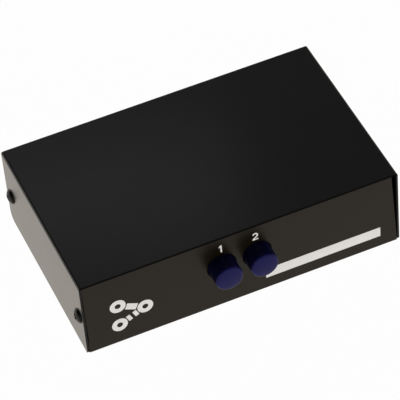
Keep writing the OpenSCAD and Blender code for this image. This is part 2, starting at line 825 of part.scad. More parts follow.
module board_standoffs() {
    color("#c2a04a")
    at_board_screws()
    difference() {
        union() {
            translate([0, 0, floor_z])
                cylinder(d = standoff_af / cos(30), h = standoff_h, $fn = 6);
            translate([0, 0, foot_h]) cylinder(d = spigot_d, h = sheet_t + OVER);
        }
        translate([0, 0, board_z - standoff_bore_len])
            cylinder(d = screw_d + 2 * fit_gap, h = standoff_bore_len + OVER);
    }
}

module board_screws() {
    color("#b9bbbd") at_board_screws() translate([0, 0, board_top_z]) cross_head_screw();
}

// Sockets

module jack_housing(b) {
    color("#1b1b1c")
    difference() {
        union() {
            translate([block_x(b), 0, 0])
                block([-block_w / 2, block_y, board_top_z],
                    [block_w / 2, block_rear_y, jack_z + block_rise]);
            for (jack = JACKS)
                translate([jack_x(b, jack), 0, jack_z]) rod_along_y(boss_d, block_rear_y - OVER, boss_y);
        }
        for (jack = JACKS)
            translate([jack_x(b, jack), 0, jack_z]) {
                rod_along_y(sleeve_root_d + 2 * fit_gap, sleeve_y, boss_y + OVER);
                rod_along_y(sleeve_d - 2 * sleeve_t, block_y - OVER, boss_y + OVER);
                block([-lug_w / 2 - fit_gap, lug_y - fit_gap, board_top_z - jack_z - OVER],
                    [lug_w / 2 + fit_gap, lug_y + lug_t + fit_gap, 0]);
            }
        block([jack_x(b, jack_count - 1) - lug_w / 2 - fit_gap, lug_y - fit_gap, board_top_z - OVER],
            [jack_x(b, 0) + lug_w / 2 + fit_gap, lug_y + lug_t + fit_gap, board_top_z + strap_h + fit_gap]);
    }
}

module jack_sleeves(b) {
    color("#d2d2ce")
    for (jack = JACKS)
        translate([jack_x(b, jack), 0, jack_z])
        difference() {
            union() {
                rod_along_y(sleeve_root_d, sleeve_y, boss_y);
                rod_along_y(sleeve_d, sleeve_y, jack_y);
            }
            rod_along_y(sleeve_d - 2 * sleeve_t, sleeve_y - OVER, jack_y + OVER);
        }
}

// The strip under a block's sleeves, with a finger to each sleeve and a leg through the board
module earth_strap(b) {
    color("#c8c6b4") {
        for (jack = JACKS)
            translate([jack_x(b, jack), 0, 0])
                block([-lug_w / 2, lug_y, pin_end_z],
                    [lug_w / 2, lug_y + lug_t, jack_z - sleeve_root_d / 2 - fit_gap]);
        block([jack_x(b, jack_count - 1) - lug_w / 2, lug_y, board_top_z],
            [jack_x(b, 0) + lug_w / 2, lug_y + lug_t, board_top_z + strap_h]);
    }
}

// The insulators of one signal, one in each block
module jack_insulators(jack, colour) {
    body_d = sleeve_d - 2 * sleeve_t - 2 * fit_gap;
    color(colour)
    for (b = BLOCKS)
        translate([jack_x(b, jack), 0, jack_z])
        difference() {
            union() {
                rod_along_y(body_d, block_y - OVER / 2, insulator_y);
                rod_along_y(flange_d, flange_y, block_y);
            }
            rod_along_y(insulator_hole_d, flange_y - OVER, insulator_y + OVER);
            rod_along_y(contact_d + 2 * fit_gap, flange_y - OVER, pocket_y);
        }
}

module centre_contacts(b) {
    color("#c9a94f")
    for (jack = JACKS)
        translate([jack_x(b, jack), 0, jack_z]) {
            difference() {
                rod_along_y(contact_d, contact_tail_y, pocket_y - fit_gap);
                rod_along_y(contact_d - 2 * contact_t, flange_y, pocket_y);
            }
            block([-contact_tail_w / 2, contact_tail_y, pin_end_z - jack_z],
                [contact_tail_w / 2, flange_y, 0]);
        }
}

top_cover();
tray();
cover_screws();
rubber_feet();
button_cap(0);  // button_cap_1
button_cap(1);  // button_cap_2
plunger(0);  // plunger_1
plunger(1);  // plunger_2
retaining_clip(0);  // retaining_clip_1
retaining_clip(1);  // retaining_clip_2
return_spring(0);  // return_spring_1
return_spring(1);  // return_spring_2
sliding_contacts(0);  // sliding_contacts_1
sliding_contacts(1);  // sliding_contacts_2
switch_body(0);  // switch_body_1
switch_body(1);  // switch_body_2
switch_pins(0);  // switch_pins_1
switch_pins(1);  // switch_pins_2
switch_frame();
latch_plate();
latch_spring();
main_board();
board_standoffs();
board_screws();
jack_housing(0);  // jack_housing_in_1
jack_housing(1);  // jack_housing_in_2
jack_housing(2);  // jack_housing_out
jack_sleeves(0);  // jack_sleeves_in_1
jack_sleeves(1);  // jack_sleeves_in_2
jack_sleeves(2);  // jack_sleeves_out
earth_strap(0);  // earth_strap_in_1
earth_strap(1);  // earth_strap_in_2
earth_strap(2);  // earth_strap_out
jack_insulators(0, "#d9b800");  // video_insulators
jack_insulators(1, "#e6e4dc");  // left_insulators
jack_insulators(2, "#b3171f");  // right_insulators
centre_contacts(0);  // centre_contacts_in_1
centre_contacts(1);  // centre_contacts_in_2
centre_contacts(2);  // centre_contacts_out
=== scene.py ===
"""Looks of a two-way audio and video selector switch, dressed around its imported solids, in metres.

Seen from the front, +X is to the right, +Y to the back and +Z up, as in the part's own frame.
"""

import logging
import math
from dataclasses import dataclass
from enum import Enum
from typing import Any, Callable

import bmesh
import bpy
from mathutils import Matrix, Vector


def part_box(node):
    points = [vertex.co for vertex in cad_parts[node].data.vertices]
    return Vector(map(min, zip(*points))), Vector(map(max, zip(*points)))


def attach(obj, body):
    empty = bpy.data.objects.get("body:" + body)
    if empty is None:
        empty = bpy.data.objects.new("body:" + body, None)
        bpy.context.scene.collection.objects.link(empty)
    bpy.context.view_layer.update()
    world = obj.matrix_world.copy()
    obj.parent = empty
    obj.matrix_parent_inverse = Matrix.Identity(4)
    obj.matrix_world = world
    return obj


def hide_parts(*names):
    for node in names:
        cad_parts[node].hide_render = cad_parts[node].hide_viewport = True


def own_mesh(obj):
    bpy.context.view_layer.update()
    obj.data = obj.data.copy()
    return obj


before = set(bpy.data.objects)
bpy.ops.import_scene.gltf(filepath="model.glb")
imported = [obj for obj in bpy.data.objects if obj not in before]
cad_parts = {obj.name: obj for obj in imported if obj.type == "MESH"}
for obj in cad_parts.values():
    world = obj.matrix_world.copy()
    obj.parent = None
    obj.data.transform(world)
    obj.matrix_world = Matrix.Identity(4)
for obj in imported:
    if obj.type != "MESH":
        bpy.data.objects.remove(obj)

LOG = logging.getLogger("selector_switch")
MM = 0.001
CASE = "case"
MERGE = 1e-7
CREASE_ANGLE = math.radians(35)
ORIGIN = (0.0, 0.0, 0.0)
EVEN = (1.0, 1.0, 1.0)
# Turns of a piece that is made along Z, in radians about each axis.
UPRIGHT = (0.0, 0.0, 0.0)
ALONG_Y = (-math.pi / 2, 0.0, 0.0)
# Directions in a plane, in degrees.
STRAIGHT_UP = 90.0
STRAIGHT_DOWN = -90.0
WHOLE_TURN = 360.0

Colour = tuple[float, float, float]
Place = tuple[float, float, float]
Corner = tuple[float, float, float]
Strip = tuple[list[Vector], list[Vector]]


class Block(Enum):
    """The blocks of phono sockets."""

    IN_1 = "in_1"
    IN_2 = "in_2"
    OUT = "out"


class Key(Enum):
    """The two push buttons."""

    FIRST = 1
    SECOND = 2


class Side(Enum):
    """The two side walls, as the sign of their X."""

    LEFT = -1
    RIGHT = 1


class Axis(Enum):
    """The axes that springs lie along, by number."""

    X = 0
    Y = 1


class Socket(Enum):
    """Kinds of socket on a node group, by Blender's names."""

    NUMBER = "NodeSocketFloat"
    WHOLE = "NodeSocketInt"
    VECTOR = "NodeSocketVector"
    GEOMETRY = "NodeSocketGeometry"
    MATERIAL = "NodeSocketMaterial"
    OBJECT = "NodeSocketObject"


class TreeKind(Enum):
    """Kinds of node group: the tree's type and the type of the node that places it in another tree."""

    SHADER = ("ShaderNodeTree", "ShaderNodeGroup")
    GEOMETRY = ("GeometryNodeTree", "GeometryNodeGroup")


class Wiring:
    """Adds nodes to one node tree and joins them."""

    def __init__(self, tree: bpy.types.NodeTree) -> None:
        """Keeps the tree."""
        self.tree = tree

    def feed(self, socket: bpy.types.NodeSocket, value: Any) -> None:
        """Sets a socket to a value, or joins it to a source socket.

        Args:
            socket: the input to feed.
            value: the value or the source socket.
        """
        if isinstance(value, bpy.types.NodeSocket):
            self.tree.links.new(value, socket)
        else:
            socket.default_value = value

    def add(self, kind: str, inputs: dict | None = None, **settings: Any) -> bpy.types.Node:
        """Adds one node.

        Args:
            kind: Blender's name of the node's type.
            inputs: values or source sockets, by the input's name or number.
            settings: the node's own properties.

        Returns:
            The new node.
        """
        node = self.tree.nodes.new(kind)
        for name, value in settings.items():
            setattr(node, name, value)
        for key, value in (inputs or {}).items():
            self.feed(node.inputs[key], value)
        return node

    def math(self, operation: str, first: Any, second: Any = 0.0) -> bpy.types.NodeSocket:
        """The result of a new Math node, from values or source sockets."""
        return self.add("ShaderNodeMath", {0: first, 1: second}, operation=operation).outputs[0]

    def vector(self, operation: str, first: Any, second: Any) -> bpy.types.NodeSocket:
        """Adds a Vector Math node.

        Args:
            operation: Blender's name of the operation.
            first: the first vector or source socket.
            second: the second one, or the factor of a scaling.

        Returns:
            The node's result.
        """
        key = "Scale" if operation == "SCALE" else 1
        node = self.add("ShaderNodeVectorMath", {0: first, key: second}, operation=operation)
        return node.outputs[0]

    def place(self, group: bpy.types.NodeTree, kind: TreeKind, inputs: dict) -> bpy.types.Node:
        """A new node that places a group, with values or source sockets by the group's input names."""
        _, node_type = kind.value
        return self.add(node_type, inputs, node_tree=group)


class GroupDraft:
    """A new node group with named sockets, ready to be wired."""

    def __init__(
        self, name: str, kind: TreeKind, takes: dict[str, Socket], gives: dict[str, Socket],
    ) -> None:
        """Makes the empty group.

        Args:
            name: the group's name.
            kind: a shader or a geometry group.
            takes: kinds of socket by input name.
            gives: kinds of socket by output name.
        """
        tree_type, _ = kind.value
        self.tree = bpy.data.node_groups.new(name, tree_type)
        self.wiring = Wiring(self.tree)
        for way, sockets in (("INPUT", takes), ("OUTPUT", gives)):
            for label, socket in sockets.items():
                self.tree.interface.new_socket(name=label, in_out=way, socket_type=socket.value)
        self.given = self.wiring.add("NodeGroupInput").outputs
        self.result = self.wiring.add("NodeGroupOutput").inputs


class GroupShelf:
    """Node groups that are each made at their first use."""

    @classmethod
    def shared(cls, name: str) -> bpy.types.NodeTree:
        """The group of that name, made by the method of the same name."""
        return bpy.data.node_groups.get(name) or getattr(cls, name)()


class Effects(GroupShelf):
    """Shader node groups that the finishes share."""

    GRAIN_DETAIL = 3.0
    MARK_DETAIL = 2.0
    WEAR_DETAIL = 4.0
    NOISE_MIDDLE = 0.5

    @staticmethod
    def noise(net: Wiring, size: bpy.types.NodeSocket, stretch: Any, detail: float) -> bpy.types.NodeSocket:
        """Noise over the piece's own coordinates.

        Args:
            net: the group's wiring.
            size: the size of a patch.
            stretch: factors that draw the pattern out along the axes.
            detail: how many finer layers the noise has.

        Returns:
            A value round a half.
        """
        place = net.add("ShaderNodeTexCoord").outputs["Object"]
        drawn = net.vector("MULTIPLY", place, stretch)
        scale = net.math("DIVIDE", 1.0, size)
        return net.add("ShaderNodeTexNoise", {"Vector": drawn, "Scale": scale, "Detail": detail}).outputs[0]

    @staticmethod
    def swing(net: Wiring, noise: bpy.types.NodeSocket, amount: Any, middle: Any) -> bpy.types.NodeSocket:
        """A value that the noise swings round a middle."""
        apart = net.math("SUBTRACT", noise, Effects.NOISE_MIDDLE)
        return net.math("ADD", net.math("MULTIPLY", apart, amount), middle)

    @staticmethod
    def surface_grain() -> bpy.types.NodeTree:
        """Grain or tool marks: a shade round 1 for the colour, and a height for a bump.

        Returns:
            The group.
        """
        draft = GroupDraft(
            "surface_grain", TreeKind.SHADER,
            {"Size": Socket.NUMBER, "Stretch": Socket.VECTOR, "Contrast": Socket.NUMBER},
            {"Shade": Socket.NUMBER, "Height": Socket.NUMBER},
        )
        net = draft.wiring
        noise = Effects.noise(net, draft.given["Size"], draft.given["Stretch"], Effects.GRAIN_DETAIL)
        net.feed(draft.result["Shade"], Effects.swing(net, noise, draft.given["Contrast"], 1.0))
        net.feed(draft.result["Height"], noise)
        return draft.tree

    @staticmethod
    def handling_marks() -> bpy.types.NodeTree:
        """Broad patches where a surface has been handled: a roughness that wanders round a base.

        Returns:
            The group.
        """
        draft = GroupDraft(
            "handling_marks", TreeKind.SHADER,
            {"Base": Socket.NUMBER, "Spread": Socket.NUMBER, "Size": Socket.NUMBER},
            {"Roughness": Socket.NUMBER},
        )
        net = draft.wiring
        noise = Effects.noise(net, draft.given["Size"], EVEN, Effects.MARK_DETAIL)
        roughness = Effects.swing(net, noise, draft.given["Spread"], draft.given["Base"])
        net.feed(draft.result["Roughness"], roughness)
        return draft.tree

    @staticmethod
    def box_edge_wear() -> bpy.types.NodeTree:
        """Where paint has thinned round the left and right sides of a box: a mask from 0 to 1.

        Returns:
            The group.
        """
        draft = GroupDraft(
            "box_edge_wear", TreeKind.SHADER,
            {"Low": Socket.VECTOR, "High": Socket.VECTOR, "Width": Socket.NUMBER, "Size": Socket.NUMBER},
            {"Mask": Socket.NUMBER},
        )
        net = draft.wiring
        place = net.add("ShaderNodeTexCoord").outputs["Object"]
        reaches = []
        for corner in ("Low", "High"):
            apart = net.vector("SUBTRACT", place, draft.given[corner])
            reaches.append(net.vector("ABSOLUTE", apart, ORIGIN))
        nearest = net.vector("MINIMUM", *reaches)
        x, y, z = net.add("ShaderNodeSeparateXYZ", {0: nearest}).outputs
        to_edge = net.math("MAXIMUM", x, net.math("MINIMUM", y, z))
        noise = Effects.noise(net, draft.given["Size"], EVEN, Effects.WEAR_DETAIL)
        reach = net.math("MULTIPLY", noise, draft.given["Width"])
        mask = net.add("ShaderNodeMapRange", {
            "Value": to_edge, "From Min": 0.0, "From Max": reach, "To Min": 1.0, "To Max": 0.0,
        })
        net.feed(draft.result["Mask"], mask.outputs[0])
        return draft.tree


@dataclass(frozen=True)
class Finish:
    """A surface finish that becomes one material the first time it is asked for."""

    name: str
    colour: Colour
    roughness: float
    metallic: float = 0.0
    refraction: float = 1.45
    coat: float = 0.0
    coat_refraction: float = 1.2
    coat_roughness: float = 0.2
    rough_spread: float = 0.12
    mark_size: float = 12 * MM
    grain_size: float = 0.3 * MM
    grain_stretch: Place = EVEN
    grain_contrast: float = 0.25
    grain_depth: float = 0.004 * MM

    def material(self) -> bpy.types.Material:
        """The finish's material."""
        return bpy.data.materials.get(self.name) or self.build()

    def tint(self, net: Wiring, shade: bpy.types.NodeSocket) -> bpy.types.NodeSocket:
        """The colour over the surface, shaded by a value round 1 from the grain."""
        return net.vector("SCALE", self.colour, shade)

    def gloss(self, net: Wiring, roughness: bpy.types.NodeSocket) -> tuple[Any, Any]:
        """The surface's roughness and how much lacquer it has."""
        return roughness, self.coat

    def build(self) -> bpy.types.Material:
        """Makes the material.

        Returns:
            The new material.
        """
        material = bpy.data.materials.new(self.name)
        material.use_nodes = True
        material.diffuse_color = (*self.colour, 1.0)
        net = Wiring(material.node_tree)
        net.tree.nodes.clear()
        grain = net.place(Effects.shared("surface_grain"), TreeKind.SHADER, {
            "Size": self.grain_size, "Stretch": self.grain_stretch, "Contrast": self.grain_contrast,
        })
        marks = net.place(Effects.shared("handling_marks"), TreeKind.SHADER, {
            "Base": self.roughness, "Spread": self.rough_spread, "Size": self.mark_size,
        })
        bump = net.add("ShaderNodeBump", {"Height": grain.outputs["Height"], "Distance": self.grain_depth})
        roughness, coat = self.gloss(net, marks.outputs["Roughness"])
        surface = net.add("ShaderNodeBsdfPrincipled", {
            "Base Color": self.tint(net, grain.outputs["Shade"]),
            "Metallic": self.metallic,
            "Roughness": roughness,
            "IOR": self.refraction,
            "Coat Weight": coat,
            "Coat IOR": self.coat_refraction,
            "Coat Roughness": self.coat_roughness,
            "Normal": bump.outputs["Normal"],
        })
        net.add("ShaderNodeOutputMaterial", {"Surface": surface.outputs[0]})
        return material


@dataclass(frozen=True)
class EdgedPaint(Finish):
    """Baked and lacquered paint on folded sheet that has thinned a little along the edges of its box."""

    refraction: float = 1.2
    rough_spread: float = 0.06
    mark_size: float = 30 * MM
    grain_size: float = 0.22 * MM
    grain_contrast: float = 0.5
    grain_depth: float = 0.003 * MM
    low: Place = ORIGIN
    high: Place = ORIGIN
    worn_colour: Colour = (0.012, 0.0115, 0.011)
    wear_width: float = 0.4 * MM
    wear_size: float = 2.5 * MM

    def tint(self, net: Wiring, shade: bpy.types.NodeSocket) -> bpy.types.NodeSocket:
        """The paint's colour, paler along worn edges.

        Args:
            net: the material's wiring.
            shade: a value round 1 from the grain.

        Returns:
            The colour's socket.
        """
        wear = net.place(Effects.shared("box_edge_wear"), TreeKind.SHADER, {
            "Low": self.low, "High": self.high, "Width": self.wear_width, "Size": self.wear_size,
        })
        paint = super().tint(net, shade)
        kept = net.math("SUBTRACT", 1.0, wear.outputs["Mask"])
        worn = net.vector("SCALE", self.worn_colour, wear.outputs["Mask"])
        return net.vector("ADD", net.vector("SCALE", paint, kept), worn)


@dataclass(frozen=True)
class LippedPaint(EdgedPaint):
    """Edged paint, dull and without lacquer on a top sheet's cut edges front and back, which also get
    painted shade.
    """

    lip_depth: float = 0.1 * MM
    lip_height: float = 1.0 * MM
    lip_roughness: float = 0.9
    lip_painted_shade: float = 0.25

    def lip(self, net: Wiring) -> bpy.types.NodeSocket:
        """A mask that is 1 on the cut edges.

        Args:
            net: the material's wiring.

        Returns:
            The mask's socket.
        """
        place = net.add("ShaderNodeTexCoord").outputs["Object"]
        _, y, z = net.add("ShaderNodeSeparateXYZ", {0: place}).outputs
        middle = (self.low[1] + self.high[1]) / 2
        half = (self.high[1] - self.low[1]) / 2
        from_middle = net.math("ABSOLUTE", net.math("SUBTRACT", y, middle))
        at_end = net.math("GREATER_THAN", from_middle, half - self.lip_depth)
        on_top = net.math("GREATER_THAN", z, self.high[2] - self.lip_height)
        return net.math("MULTIPLY", at_end, on_top)

    def tint(self, net: Wiring, shade: bpy.types.NodeSocket) -> bpy.types.NodeSocket:
        """The paint's colour, darkened on the cut edges by painted shade that draws a dark shadow line
        there.
        """
        # Painted shade: the cut edges' colour is scaled down to draw the dark shadow line along the top's
        # front and back.
        kept = net.math("SUBTRACT", 1.0, net.math("MULTIPLY", self.lip(net), 1.0 - self.lip_painted_shade))
        return net.vector("SCALE", super().tint(net, shade), kept)

    def gloss(self, net: Wiring, roughness: bpy.types.NodeSocket) -> tuple[Any, Any]:
        """The paint's roughness and lacquer, which the cut edges lack.

        Args:
            net: the material's wiring.
            roughness: the painted faces' roughness.

        Returns:
            The roughness and the lacquer's weight.
        """
        lip = self.lip(net)
        dull = net.math("MAXIMUM", roughness, net.math("MULTIPLY", lip, self.lip_roughness))
        return dull, net.math("MULTIPLY", net.math("SUBTRACT", 1.0, lip), self.coat)


def painted(
    kind: type[EdgedPaint], name: str, node: str, colour: Colour, roughness: float, coat: float,
) -> EdgedPaint:
    """Lacquered black paint for a piece of the case, with wear along the edges of its box.

    Args:
        kind: the kind of paint.
        name: the finish's name.
        node: the CAD node whose box it wears along.
        colour: the paint's colour.
        roughness: how rough the paint and its lacquer are.
        coat: how much of the lacquer there is.

    Returns:
        The finish.
    """
    low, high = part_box(node)
    return kind(
        name, colour, roughness, coat=coat, coat_roughness=roughness, low=tuple(low), high=tuple(high),
    )


class Finishes:
    """The finishes of this switch, by what they cover."""

    COVER = painted(LippedPaint, "cover_paint", "top_cover", (0.004, 0.004, 0.0043), 0.22, 0.45)
    TRAY = painted(EdgedPaint, "tray_paint", "tray", (0.004, 0.0028, 0.0012), 0.36, 0.7)
    INK = Finish("panel_ink", (0.64, 0.63, 0.61), 0.5, grain_size=0.25 * MM, grain_contrast=0.12)
    CAP = Finish(
        "cap_plastic", (0.0066, 0.0062, 0.049), 0.36, refraction=1.2, grain_size=0.18 * MM,
        mark_size=4 * MM,
    )
    SCREW = Finish(
        "black_zinc", (0.006, 0.0066, 0.005), 0.42, refraction=1.33, coat=0.3, grain_size=0.3 * MM,
        grain_contrast=0.6, grain_depth=0.02 * MM, mark_size=1.5 * MM,
    )
    RUBBER = Finish(
        "foot_rubber", (0.017, 0.017, 0.017), 0.75, grain_size=0.15 * MM, grain_depth=0.01 * MM,
    )
    NICKEL = Finish(
        "sleeve_nickel", (0.7, 0.67, 0.61), 0.2, metallic=1.0, grain_size=0.25 * MM,
        grain_stretch=(0.05, 1.0, 0.05), grain_contrast=0.1, grain_depth=0.001 * MM,
    )
    HOUSING = Finish("housing_plastic", (0.012, 0.012, 0.012), 0.45)
    YELLOW = Finish("yellow_plastic", (0.78, 0.5, 0.012), 0.33, grain_contrast=0.08)
    WHITE = Finish("white_plastic", (0.78, 0.76, 0.7), 0.33, grain_contrast=0.06)
    RED = Finish("red_plastic", (0.5, 0.012, 0.016), 0.33, grain_contrast=0.1)
    BRASS = Finish("contact_brass", (0.72, 0.5, 0.19), 0.28, metallic=1.0, grain_contrast=0.15)
    NYLON = Finish("plunger_nylon", (0.76, 0.72, 0.62), 0.5, grain_contrast=0.08)
    SPRING = Finish("spring_steel", (0.5, 0.5, 0.49), 0.26, metallic=1.0, grain_contrast=0.15)
    ZINC = Finish(
        "zinc_plate", (0.52, 0.53, 0.55), 0.36, metallic=1.0, grain_size=0.3 * MM,
        grain_stretch=(0.06, 1.0, 1.0), grain_contrast=0.2, grain_depth=0.002 * MM,
    )
    TIN = Finish("tinned_copper", (0.66, 0.64, 0.58), 0.3, metallic=1.0, grain_contrast=0.15)
    SWITCH = Finish("switch_plastic", (0.018, 0.018, 0.018), 0.42)
    BOARD = Finish("board_mask", (0.012, 0.1, 0.032), 0.32, grain_size=1.2 * MM, grain_contrast=0.5)


def rounded_path(corners: list[Corner], closed: bool, steps: int = 6) -> list[Vector]:
    """Points along straight stretches with rounded corners.

    Args:
        corners: the two coordinates and the radius of each corner.
        closed: whether the path returns to its first corner.
        steps: points along each rounding.

    Returns:
        The points in the plane, in order.
    """
    points: list[Vector] = []
    last = len(corners) - 1
    for i, (x, y, radius) in enumerate(corners):
        here = Vector((x, y))
        if radius <= 0 or (not closed and i in (0, last)):
            points.append(here)
            continue
        back = (Vector(corners[i - 1][:2]) - here).normalized()
        ahead = (Vector(corners[(i + 1) % len(corners)][:2]) - here).normalized()
        half = back.angle(ahead) / 2
        middle = here + (back + ahead).normalized() * (radius / math.sin(half))
        spoke = here + back * (radius / math.tan(half)) - middle
        sense = math.copysign(1.0, back.cross(ahead))
        sweep = -sense * (math.pi - 2 * half)
        for step in range(steps + 1):
            points.append(middle + Matrix.Rotation(sweep * step / steps, 2) @ spoke)
    return points


def arc_points(middle: Vector, radius: float, start: float, end: float, steps: int) -> list[Vector]:
    """Points along an arc.

    Args:
        middle: the arc's centre in the plane.
        radius: the arc's radius.
        start: the first point's angle in degrees.
        end: the last point's angle in degrees.
        steps: stretches between points.

    Returns:
        The points in the plane, in order.
    """
    points = []
    for step in range(steps + 1):
        angle = math.radians(start + (end - start) * step / steps)
        points.append(middle + radius * Vector((math.cos(angle), math.sin(angle))))
    return points


def ball_radius(rim: float, height: float) -> float:
    """The radius of the ball from which a dome of this rim radius and height is cut."""
    return (rim ** 2 + height ** 2) / (2 * height)


def standing(section: list[Vector]) -> list[Vector]:
    """A section's points in space, with its first coordinate as X and its second as Z."""
    return [Vector((point.x, 0.0, point.y)) for point in section]


def add_piece(name: str, mesh: bpy.types.Mesh) -> bpy.types.Object:
    """Puts a mesh into the scene as an object at the origin.

    Args:
        name: the object's name.
        mesh: its mesh.

    Returns:
        The object.
    """
    piece = bpy.data.objects.new(name, mesh)
    bpy.context.scene.collection.objects.link(piece)
    return piece


def point_mesh(name: str, points: list[Vector], joined: bool = False) -> bpy.types.Mesh:
    """A mesh of bare points, joined into a path if asked for.

    Args:
        name: the mesh's name.
        points: the points, in order.
        joined: whether each point is joined to the next.

    Returns:
        The mesh.
    """
    mesh = bpy.data.meshes.new(name)
    edges = [(i, i + 1) for i in range(len(points) - 1)] if joined else []
    mesh.from_pydata(points, edges, [])
    return mesh


def settle(piece: bpy.types.Object) -> None:
    """Turns a piece with modifiers into a plain mesh whose faces point outwards.

    Args:
        piece: the piece, which loses its modifiers.
    """
    graph = bpy.context.evaluated_depsgraph_get()
    draft = piece.data
    mesh = bpy.data.meshes.new_from_object(piece.evaluated_get(graph), depsgraph=graph)
    piece.modifiers.clear()
    piece.data = mesh
    bpy.data.meshes.remove(draft)
    mesh.name = piece.name
    shell = bmesh.new()
    shell.from_mesh(mesh)
    bmesh.ops.recalc_face_normals(shell, faces=shell.faces)
    shell.to_mesh(mesh)
    shell.free()


def finish_piece(piece: bpy.types.Object, body: str, slot: str | None, *nodes: str) -> bpy.types.Object:
    """Hangs a piece on its body, hides the CAD nodes that it stands for, and reports it.

    Args:
        piece: the finished piece.
        body: the body that it moves with.
        slot: the record's material slot, if it has one; not used.
        nodes: the CAD nodes that it stands for.

    Returns:
        The piece.
    """
    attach(piece, body)
    if nodes:
        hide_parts(*nodes)
    LOG.info("%s rides on %s with %d faces", piece.name, body, len(piece.data.polygons))
    return piece


def join_pieces(name: str, pieces: list[bpy.types.Object]) -> bpy.types.Object:
    """Joins pieces of one finish into one.

    Args:
        name: the joined piece's name.
        pieces: the pieces, which are removed.

    Returns:
        The joined piece.
    """
    whole = bmesh.new()
    for piece in pieces:
        whole.from_mesh(piece.data)
    mesh = bpy.data.meshes.new(name)
    whole.to_mesh(mesh)
    whole.free()
    mesh.materials.append(pieces[0].data.materials[0])
    for piece in pieces:
        bpy.data.objects.remove(piece)
    return add_piece(name, mesh)


class Trees(GroupShelf):
    """Geometry node trees for the turned, cut and wound pieces."""

    @staticmethod
    def apply(piece: bpy.types.Object, name: str, values: dict[str, Any]) -> None:
        """Runs a tree on a piece and keeps the result as its mesh.

        Args:
            piece: the object that holds the tree's points or path.
            name: the tree.
            values: the tree's inputs by name.
        """
        tree = Trees.shared(name)
        modifier = piece.modifiers.new(name, "NODES")
        modifier.node_group = tree
        for item in tree.interface.items_tree:
            if item.in_out == "INPUT" and item.name in values:
                modifier[item.identifier] = values[item.name]
        settle(piece)

    @staticmethod
    def close(draft: GroupDraft, geometry: bpy.types.NodeSocket) -> bpy.types.NodeTree:
        """Ends a tree: plain mesh, then its material.

        Args:
            draft: the tree's draft, with a Finish among its inputs.
            geometry: what the tree has made.

        Returns:
            The finished tree.
        """
        net = draft.wiring
        real = net.add("GeometryNodeRealizeInstances", {0: geometry}).outputs[0]
        dressed = net.add("GeometryNodeSetMaterial", {"Geometry": real, "Material": draft.given["Finish"]})
        net.feed(draft.result["Geometry"], dressed.outputs[0])
        return draft.tree

    @staticmethod
    def creased(net: Wiring, geometry: bpy.types.NodeSocket) -> bpy.types.NodeSocket:
        """Smooth shading with a crease where faces meet at more than the crease angle.

        Args:
            net: the tree's wiring.
            geometry: the mesh to shade.

        Returns:
            The shaded mesh.
        """
        smooth = net.add("GeometryNodeSetShadeSmooth", {0: geometry, "Shade Smooth": True}, domain="FACE")
        angle = net.add("GeometryNodeInputMeshEdgeAngle").outputs["Unsigned Angle"]
        sharp = net.math("GREATER_THAN", angle, CREASE_ANGLE)
        node = net.add("GeometryNodeSetShadeSmooth", {
            0: smooth.outputs[0], "Selection": sharp, "Shade Smooth": False,
        }, domain="EDGE")
        return node.outputs[0]

    @staticmethod
    def lathe() -> bpy.types.NodeTree:
        """Turns an outline, with radius as X and height as Z, round the Z axis.

        Returns:
            The tree.
        """
        draft = GroupDraft(
            "lathe", TreeKind.GEOMETRY,
            {"Outline": Socket.GEOMETRY, "Sides": Socket.WHOLE}, {"Geometry": Socket.GEOMETRY},
        )
        net = draft.wiring
        outline = draft.given["Outline"]
        rows = net.add("GeometryNodeAttributeDomainSize", {0: outline}).outputs["Point Count"]
        grid = net.add("GeometryNodeMeshGrid", {
            "Size X": 1.0, "Size Y": 1.0,
            "Vertices X": net.math("ADD", draft.given["Sides"], 1.0), "Vertices Y": rows,
        })
        here = net.add("GeometryNodeInputPosition").outputs[0]
        across, along, _ = net.add("ShaderNodeSeparateXYZ", {0: here}).outputs
        # The grid is 1 by 1 round the origin, so a half more makes its coordinates shares from 0 to 1.
        turn = net.math("MULTIPLY", net.math("ADD", across, 0.5), 2 * math.pi)
        row = net.math("MULTIPLY", net.math("ADD", along, 0.5), net.math("SUBTRACT", rows, 1.0))
        sample = net.add("GeometryNodeSampleIndex", {
            "Geometry": outline, "Value": here, "Index": net.math("ROUND", row),
        }, data_type="FLOAT_VECTOR", domain="POINT")
        radius, _, height = net.add("ShaderNodeSeparateXYZ", {0: sample.outputs[0]}).outputs
        spot = net.add("ShaderNodeCombineXYZ", {
            0: net.math("MULTIPLY", radius, net.math("COSINE", turn)),
            1: net.math("MULTIPLY", radius, net.math("SINE", turn)),
            2: height,
        })
        turned = net.add("GeometryNodeSetPosition", {
            "Geometry": grid.outputs[0], "Position": spot.outputs[0],
        })
        whole = net.add("GeometryNodeMergeByDistance", {"Geometry": turned.outputs[0], "Distance": MERGE})
        net.feed(draft.result["Geometry"], whole.outputs[0])
        return draft.tree

    @staticmethod
    def turned_row() -> bpy.types.NodeTree:
        """A row of equal turned pieces, made from the outline that the object's points give.

        Returns:
            The tree.
        """
        draft = GroupDraft(
            "turned_row", TreeKind.GEOMETRY,
            {"Outline": Socket.GEOMETRY, "Sides": Socket.WHOLE, "Count": Socket.WHOLE,
             "Start": Socket.VECTOR, "Step": Socket.VECTOR, "Turn": Socket.VECTOR,
             "Finish": Socket.MATERIAL},
            {"Geometry": Socket.GEOMETRY},
        )
        net, given = draft.wiring, draft.given
        solid = net.place(Trees.shared("lathe"), TreeKind.GEOMETRY, {
            "Outline": given["Outline"], "Sides": given["Sides"],
        })
        turn = net.add("FunctionNodeEulerToRotation", {0: given["Turn"]}).outputs[0]
        row = net.add("GeometryNodeMeshLine", {
            "Count": given["Count"], "Start Location": given["Start"], "Offset": given["Step"],
        }, mode="OFFSET")
        copies = net.add("GeometryNodeInstanceOnPoints", {
            "Points": row.outputs[0], "Instance": Trees.creased(net, solid.outputs[0]), "Rotation": turn,
        })
        return Trees.close(draft, copies.outputs[0])

